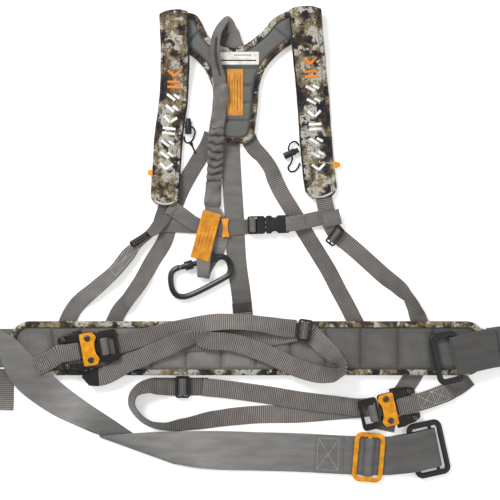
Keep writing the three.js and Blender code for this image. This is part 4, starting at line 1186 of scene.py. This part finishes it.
label = slip("size_label_cloth", -10, 13, 324, 389, over_yoke, 0.5, "label")
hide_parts("size_label")
for k, (x0, x1) in enumerate(((-6.6, -6.0), (-3.0, -2.2), (0.8, 1.4), (4.4, 5.2), (8.6, 9.2))):
    slip(f"size_label_line_{k}", x0, x1, 331 + (k % 3) * 4, 382 - (k % 2) * 8,
         lambda x, y: over_yoke(x, y) + 0.5,
         0.06, "ink")
frame_line = [(-8.6, 325.6), (11.6, 325.6), (11.6, 387.4), (-8.6, 387.4), (-8.6, 325.6)]
run = np.array([(x, y, 12.4) for x, y in frame_line])
dense = np.concatenate([np.linspace(a, b, 40) for a, b in zip(run[:-1], run[1:])])
dense[:, 2] = over_yoke(dense[:, 0], dense[:, 1]) + 0.62
dashes("size_label_stitching", [dense], "label", "root", 2.0, 3.0, 0.3)
slip("care_label", -20, 35, 395, 413, lambda x, y: 11.5 + 0.15 * np.sin(x / 5.0), 0.4, "white_label")
slip("care_label_print", 0, 24, 407.4, 409.4, lambda x, y: 11.9 + 0.15 * np.sin(x / 5.0), 0.05,
     "grey_ink")
slip("care_label_fold", -18, 31, 400.2, 401.9, lambda x, y: 11.9 + 0.15 * np.sin(x / 5.0), 0.3, "tape")


# Tether cover: a gathered stretch sleeve
cover = Band(ROUTES["tether_cover"], 22, 7)
lengths = np.linspace(0, cover.length, int(cover.length / 0.6))
centre, across, normal, _ = cover.sample(lengths)
normal *= np.sign(normal[:, 2:3])
COVER_SIDES = 48
around = np.arange(COVER_SIDES) * math.tau / COVER_SIDES
v, h = np.cos(around), np.sin(around)
folds = rng.random() * 3
l, a = lengths[:, None], v[None, :]
gather = np.clip((l - 56) / 10, 0, 1) * np.clip((150 - l) / 16, 0, 1)
slant = (l / 10.6 * math.pi + 0.8 * a ** 2 + 0.4 * np.sin(a * 1.7 + l / 11 + folds)
         + 0.22 * np.sin(a * 5 + l / 5))
soft = 0.8 + 0.1 * np.sin(l / 7.3 + a * 2) + 0.1 * np.sin(l / 3.1 + a)
crease = (1 - np.abs(np.sin(slant))) ** 1.6 * gather
ridge = gather * np.abs(np.sin(slant)) ** 0.7 + (1 - gather) * soft
fine = 0.12 * np.sin(l / 1.3 + a * 4)
ends = np.clip(np.minimum(l, cover.length - l) / 5, 0, 1)
size = 0.36 + (0.5 + 0.65 * gather) * ridge * ends + 0.08 * fine
half_wide = (np.interp(l, (0, 12, 40, 60, 150, 178), (9.6, 11.4, 10.2, 10.6, 11.4, 13.0))
             * (0.88 + 0.13 * ridge * ends))
verts = (centre[:, None] + across[:, None] * (v[None, :] * half_wide)[..., None]
         + normal[:, None] * (np.sign(h) * np.abs(h) ** 0.75 * 3.6 * size)[..., None]).reshape(-1, 3)
faces = ring_faces(len(lengths), COVER_SIDES)
verts[:, 2] = np.maximum(verts[:, 2], 0.3)
# Painted shade in the creases of the gathers, and painted light and shade along the soft ridges
claim(outward(make_object("tether_cover_sleeve", verts * MM, faces, "cover",
                          painted_light=(1.1 - 0.85 * crease + (1 - gather) * (soft - 0.8) * 1.6 + 0.14
                                * np.sin(l / 4.3 + a * 3)).ravel())),
      ["tether_cover"])

tag = Band(ROUTES["tether_tag"], 26, 0.8)
claim(band_mesh("tether_tag_cloth", tag, "tag", 1.5), ["tether_tag"])
inks = []
for row in range(4):
    aside = -7.8 + row * 5.0
    stops = np.arange(15 + row % 2 * 2, tag.length - 15 - row % 3 * 3, 1.9)
    inks.append([(at, aside + (1.7 if k % 2 else -1.7)) for k, at in enumerate(stops)])
dashes("tether_tag_lines", on_band(tag, inks, -0.05, 0.5), "ink", "root", 2.6, 2.9, 0.3)
dashes("tether_tag_stitching", on_band(tag, box_stitch(tag.length - 14, tag.length - 2, 11, cross=False)
                                       + box_stitch(2, 14, 11)), "label", "root", 2.2, 3.0,
       0.3)


# ---------------------------------------------------------------- hardware
def hard(node, body, material, bevel=0.6, segments=3, notches=()):
    """A finer copy of a CAD node with rounded edges, and round notches cut in its sides."""
    mesh = bpy.data.objects[node].data.copy()
    obj = bpy.data.objects.new(node + "_part", mesh)
    scene.collection.objects.link(obj)
    work = bmesh.new()
    work.from_mesh(mesh)
    bmesh.ops.remove_doubles(work, verts=work.verts, dist=2e-6)
    work.to_mesh(mesh)
    work.free()
    mesh.materials.clear()
    mesh.materials.append(MAT[material])
    cutters = []
    for x, y, radius in notches:
        bpy.ops.mesh.primitive_cylinder_add(vertices=32, radius=radius * MM, depth=0.04,
                                            location=(x * MM, y * MM, 0.008))
        cutters.append(bpy.context.object)
        cut = obj.modifiers.new("notch", "BOOLEAN")
        cut.operation, cut.object, cut.solver = "DIFFERENCE", cutters[-1], "EXACT"
    modifier = obj.modifiers.new("bevel", "BEVEL")
    modifier.width = bevel * MM
    modifier.segments = segments
    modifier.limit_method = "ANGLE"
    modifier.angle_limit = math.radians(40)
    modifier.use_clamp_overlap = True
    bpy.context.view_layer.update()
    done = bpy.data.meshes.new_from_object(obj.evaluated_get(bpy.context.evaluated_depsgraph_get()))
    obj.modifiers.clear()
    for cutter in cutters:
        bpy.data.objects.remove(cutter)
    obj.data = done
    done.polygons.foreach_set("use_smooth", [True] * len(done.polygons))
    done.set_sharp_from_angle(angle=math.radians(38))
    return claim(obj, [node], body)


def settled(points, place):
    """Points in a piece's own frame, tilted about y and then turned about z, in the row frame."""
    x, y, z, degrees, tilt = place
    turn = Matrix.Rotation(math.radians(degrees), 3, "Z") @ Matrix.Rotation(math.radians(tilt), 3, "Y")
    return np.array(points) @ np.array(turn).T + [x, y, z]


def bar_sweep(path, wide, thick, closed, power=3.2, sides=20):
    """Vertices and faces of a bar with a rounded rectangular section along a flat path."""
    path = np.array(path, float)
    ahead = np.roll(path, -1, 0) - np.roll(path, 1, 0)
    if not closed:
        ahead[0], ahead[-1] = path[1] - path[0], path[-1] - path[-2]
    ahead /= np.linalg.norm(ahead, axis=1, keepdims=True)
    side = np.stack([ahead[:, 1], -ahead[:, 0], np.zeros(len(path))], axis=1)
    turn = np.arange(sides) * math.tau / sides
    c = np.sign(np.cos(turn)) * np.abs(np.cos(turn)) ** (2 / power)
    h = np.sign(np.sin(turn)) * np.abs(np.sin(turn)) ** (2 / power)
    wide = np.broadcast_to(wide, len(path))
    verts = (path[:, None] + side[:, None] * (c[None] * wide[:, None] / 2)[..., None]
             + np.array([0, 0, 1.0]) * (h * thick / 2)[None, :, None])
    return verts.reshape(-1, 3), ring_faces(len(path), sides, closed)


def frame_loop(node, body, place, length, width, bar, thick, material, slot_name, middle=None, right=None,
               corner=None):
    """A strap frame: a closed loop of bar with rounded corners, and a bar across it."""
    corner = corner or bar * 0.85
    x, y = length / 2 - bar / 2, width / 2 - bar / 2
    ring = rounded_ring(-x, x, -y, y, corner, 0.8)
    wide = np.full(len(ring), float(bar))
    if right:
        at, size = right
        mask = ring[:, 0] > x - corner * 0.6
        ring[mask, 0] = ring[mask, 0] - (x - at)
        wide = np.where(ring[:, 0] > at - 0.5, size, wide)
    verts, faces = bar_sweep(np.column_stack([ring, np.zeros(len(ring))]), wide, thick, True)
    parts = [(verts, faces)]
    if middle:
        at, size = middle
        parts.append(bar_sweep([(at, -y, 0), (at, 0, 0), (at, y, 0)], size, thick * 0.94, False))
    verts, faces = [], []
    for v, f in parts:
        faces += [tuple(i + len(verts) for i in face) for face in f]
        verts += list(v)
    obj = make_object(node + "_loop", settled(verts, place) * MM, faces, material)
    obj.data.set_sharp_from_angle(angle=math.radians(50))
    return claim(outward(obj), [node], body)


def extruded(name, outline_points, place, low, high, material, bevel=0.5, segments=3):
    """A plate from an outline in its own frame, with rounded edges."""
    work = bmesh.new()
    base = [work.verts.new(Vector((x, y, low)) * MM) for x, y in outline_points]
    face = work.faces.new(base)
    grown = bmesh.ops.extrude_face_region(work, geom=[face])
    bmesh.ops.translate(work, verts=[v for v in grown["geom"] if isinstance(v, bmesh.types.BMVert)],
                        vec=(0, 0, (high - low) * MM))
    bmesh.ops.recalc_face_normals(work, faces=work.faces)
    sharp = [e for e in work.edges if len(e.link_faces) == 2 and e.calc_face_angle(0) > math.radians(50)]
    bmesh.ops.bevel(work, geom=sharp, offset=bevel * MM, segments=segments, profile=0.5, affect="EDGES")
    mesh = bpy.data.meshes.new(name)
    work.to_mesh(mesh)
    work.free()
    x, y, z, degrees = place
    mesh.transform(Matrix.Translation(Vector((x, y, z)) * MM)
                   @ Matrix.Rotation(math.radians(degrees), 4, "Z"))
    mesh.materials.append(MAT[material])
    mesh.polygons.foreach_set("use_smooth", [True] * len(mesh.polygons))
    mesh.set_sharp_from_angle(angle=math.radians(40))
    obj = bpy.data.objects.new(name, mesh)
    scene.collection.objects.link(obj)
    return obj


# Each strap frame's place, length, width, bar, thickness, material, slot and bar across
SMALL = (2.6, 2.4, "plastic", "black_plastic", (0, 2.6))
SLIDER = (3, 2.6, "plastic", "black_plastic", (0, 3))
frame_loop("tri_glide_left", "tri_glide_left", (-131, 152, 13.4, -59, 62), 15, 29, *SMALL)
frame_loop("tri_glide_right", "tri_glide_right", (141, 157, 7.8, -36.6, 0), 15, 29, *SMALL)
frame_loop("leg_slider_left", "leg_slider_left", (98, 26, 24.4, -8, 0), 20, 31, *SLIDER)
frame_loop("leg_slider_right", "leg_slider_right", (-71.5, -54, 5.6, 0, 0), 21, 31, *SLIDER)
frame_loop("waist_adjuster", "waist_adjuster", (188, -152, 6.25, -5, 0), 43, 69, 6.6, 3, "orange",
           "orange_metal", (0, 6.6), corner=7.5)
frame_loop("waist_end_frame", "end_frame", (271.5, -140.4, 5.15, 12.5, 0), 50, 78, 8, 4.4, "plastic",
           "black_metal", (7.7, 5))
frame_loop("belt_ring", "belt_ring", (296.3, -12, 20.3, 12.5, 0), 41, 73, 8.4, 4.4, "plastic",
           "black_metal",
           None, (15.5, 5))
hard("chest_buckle_female", "root", "plastic", 0.9, 3,
     ((56.0, 187.6, 5.2), (57.0, 158.6, 5.2)))
hard("chest_buckle_male", "chest_male", "plastic", 0.9, 4)
collar = extruded("chest_male_collar", [(-9, -11.4), (-4.2, -10.2), (-4.2, 10.2), (-9, 11.4)],
                  (48, 172.5, 3.9, 2), 1.2, 7.4,
                  "plastic", 0.4)
claim(collar, body="chest_male")
curve = [(5.3 - 2.0 * math.sin(math.pi * k / 12) ** 1.6, -13 + 26 * k / 12) for k in range(13)]
keeper = extruded("chest_keeper_plate", curve + [(-x, y) for x, y in reversed(curve)], (-12, 168, 1.0, 2),
                  3.9, 5.7,
                  "orange_plastic", 0.5)
claim(keeper, ["chest_keeper"], "keeper")
for side, x, y, z, way in (("left", -112, 245, 6.4, -1), ("right", 140, 256, 6.0, 1)):
    outline = [(-2, -4.6), (4, -4.2), (7.4, -3.2), (8.6, -1.4), (8.6, 1.4), (7.4, 3.2), (4, 4.2), (-2, 4.6)]
    tab = extruded(f"pull_tab_{side}", [(px * way, py) for px, py in outline], (x, y, z, 4 * way), -0.9,
                   0.9,
                   "orange_plastic", 0.4)
    claim(tab)


def dome(name, x, y, place, radius, low, high, material, sides=28):
    """A rivet head: a low dome on a short side wall."""
    verts = []
    rings = [(1.0, 0.0), (1.0, 0.45), (0.93, 0.75), (0.75, 0.92), (0.42, 1.0), (0.3, 0.94)]
    for size, rise in rings:
        verts += [(x + radius * size * math.cos(k * math.tau / sides),
                   y + radius * size * math.sin(k * math.tau / sides),
                   low + (high - low) * rise) for k in range(sides)]
    faces = ring_faces(len(rings), sides)
    return outward(make_object(name, settled(verts, tuple(place) + (0,)) * MM, faces, material))


def quick_cover(side, place):
    """The orange cover plate with its two rivets: hollowed towards the strap, notched towards the tab."""
    points = [(-10.6, -21), (-9.2, -22.6), (8, -22.6)]
    points += [(7.9 + 4.0 * math.exp(-((abs(y) - 15.2) / 5.4) ** 2), y)
               for y in (-21, -18.5, -16, -13.5, -11, -8, -4, 0, 4, 8, 11,
                                                                                 13.5, 16, 18.5, 21)]
    points += [(8, 22.6), (-9.2, 22.6), (-10.6, 21)]
    cover = extruded(f"buckle_{side}_cover_plate", points, place, 8.9, 10.9, "orange", 0.45)
    claim(cover, [f"buckle_{side}_cover"])
    for k, (x, y, r, low, high) in enumerate(((0, 15.3, 4.3, 10.7, 12.5), (0, -15.3, 4.3, 10.7, 12.5),
                                              (-33, 19, 3.3, 9.9, 11.0), (-33, -19, 3.3, 9.9, 11.0))):
        claim(dome(f"buckle_{side}_rivet_{k}", x, y, place, r, low, high, "rivet"))


for side in QUICK_CONNECTS:
    hard(f"buckle_{side}_base", "root", "steel", 0.5)
    quick_cover(side, QUICK_CONNECTS[side])
    hard(f"buckle_{side}_male", f"buckle_{side}_male", "steel", 0.9)
    for edge in ("upper", "lower"):
        lever = f"buckle_{side}_lever_{edge}"
        hard(lever, lever, "steel", 0.8)
        way = 1 if edge == "upper" else -1
        outline = [(-38, 15), (-38, 21.5), (-33, 25), (-24, 26), (-17, 28), (-7, 28), (-7, 12.8),
                   (-18, 12.8), (-29, 13.4)]
        plate = extruded(lever + "_plate", [(x, y * way) for x, y in outline], QUICK_CONNECTS[side], 5.4,
                         8.1, "steel")
        claim(plate, body=lever)
hard("carabiner_gate", "gate", "alloy", 0.4)
hard("carabiner_sleeve", "sleeve", "alloy", 0.5)
hard("carabiner_body", "carabiner", "alloy", 0.9, 3)

# ---------------------------------------------------------------- elastic cords
CORDS = {
    "left": ((-63.6, 309, 5.1, 90), [[-69, 309, 5.1], [-63.6, 309, 5.1], [-58.6, 309, 5],
                                     [-54.8, 304.6, 3.6],
             [-55.4, 297, 2], [-59, 290, 1.4], [-65, 287, 1.4], [-69, 290.6, 1.5], [-69.8, 296, 2.2]]),
    "right": ((79, 272, 5.1, 25), [[91.2, 283, 3.4], [86, 288.6, 3.6], [79.4, 286.4, 4.6], [76.2, 279, 5.1],
              [79, 272, 5.1], [81.4, 265.6, 5], [79.6, 258.6, 3.4], [75.8, 252.6, 1.8], [78.4, 247.2, 1.4],
              [84.4, 247.4, 1.4], [89.4, 252.4, 1.4], [92, 259, 1.8]]),
}
for side, (spot, route) in CORDS.items():
    lock = hard(f"cord_lock_{side}", "root", "plastic", 0.5)
    button = hard(f"cord_button_{side}", f"cord_button_{side}", "plastic", 0.5)
    path = smooth_path(route, 12)
    curve = bpy.data.curves.new(f"elastic_cord_{side}_line", "CURVE")
    curve.dimensions = "3D"
    line = curve.splines.new("POLY")
    line.points.add(len(path) - 1)
    for point, where in zip(line.points, path):
        point.co = (*(where * MM), 1)
    curve.bevel_depth = 1.2 * MM
    curve.bevel_resolution = 4
    curve.use_fill_caps = True
    curve.materials.append(MAT["cord"])
    obj = bpy.data.objects.new(f"elastic_cord_{side}_line", curve)
    scene.collection.objects.link(obj)
    claim(obj, [f"elastic_cord_{side}"])

tail = smooth_path([[-61.6, 289, 1.6], [-60, 286, 2.2], [-58.6, 283, 2.0], [-56.6, 278.4, 1.5],
                    [-53.8, 272.6, 1.4]], 8)
size = np.interp(np.linspace(0, 1, len(tail)), (0, 0.2, 0.35, 0.5, 0.85, 1), (1.1, 2.5, 2.6, 1.3, 1.2, 2.0))
claim(tube("elastic_cord_left_tail", tail, 1.2, "cord", 10, radii=size))


# ---------------------------------------------------------------- floor and light
floor_material = Nodes("floor", roughness=1.0, specular=0.0)
floor_material.shader.inputs["Base Color"].default_value = (0.92, 0.92, 0.92, 1)
floor_material.shader.inputs["Emission Color"].default_value = (1, 1, 1, 1)
floor_material.shader.inputs["Emission Strength"].default_value = 0.3
FLOOR_SIZE = 60
FLOOR_DROP = 0.0002
bpy.ops.mesh.primitive_plane_add(size=FLOOR_SIZE, location=(0, 0, -FLOOR_DROP))
floor = bpy.context.object
floor.name = "floor"
floor.data.materials.append(floor_material.material)
world = bpy.data.worlds.new("world")
scene.world = world
world.use_nodes = True
world.node_tree.nodes["Background"].inputs[0].default_value = (1, 1, 1, 1)
world.node_tree.nodes["Background"].inputs[1].default_value = 0.55


LIGHT_AIM = (0.02, 0.12, 0)


def area_light(name, place, size, power):
    data = bpy.data.lights.new(name, "AREA")
    data.size = size
    data.energy = power
    lamp = bpy.data.objects.new(name, data)
    lamp.location = place
    lamp.rotation_euler = (Vector(LIGHT_AIM) - Vector(place)).to_track_quat("-Z", "Y").to_euler()
    scene.collection.objects.link(lamp)


area_light("key_light", (-0.9, 1.2, 1.5), 0.7, 30)
area_light("fill_light", (1.3, -0.4, 1.5), 1.3, 9)
scene.view_settings.view_transform = "Standard"
scene.view_settings.exposure = 0.0
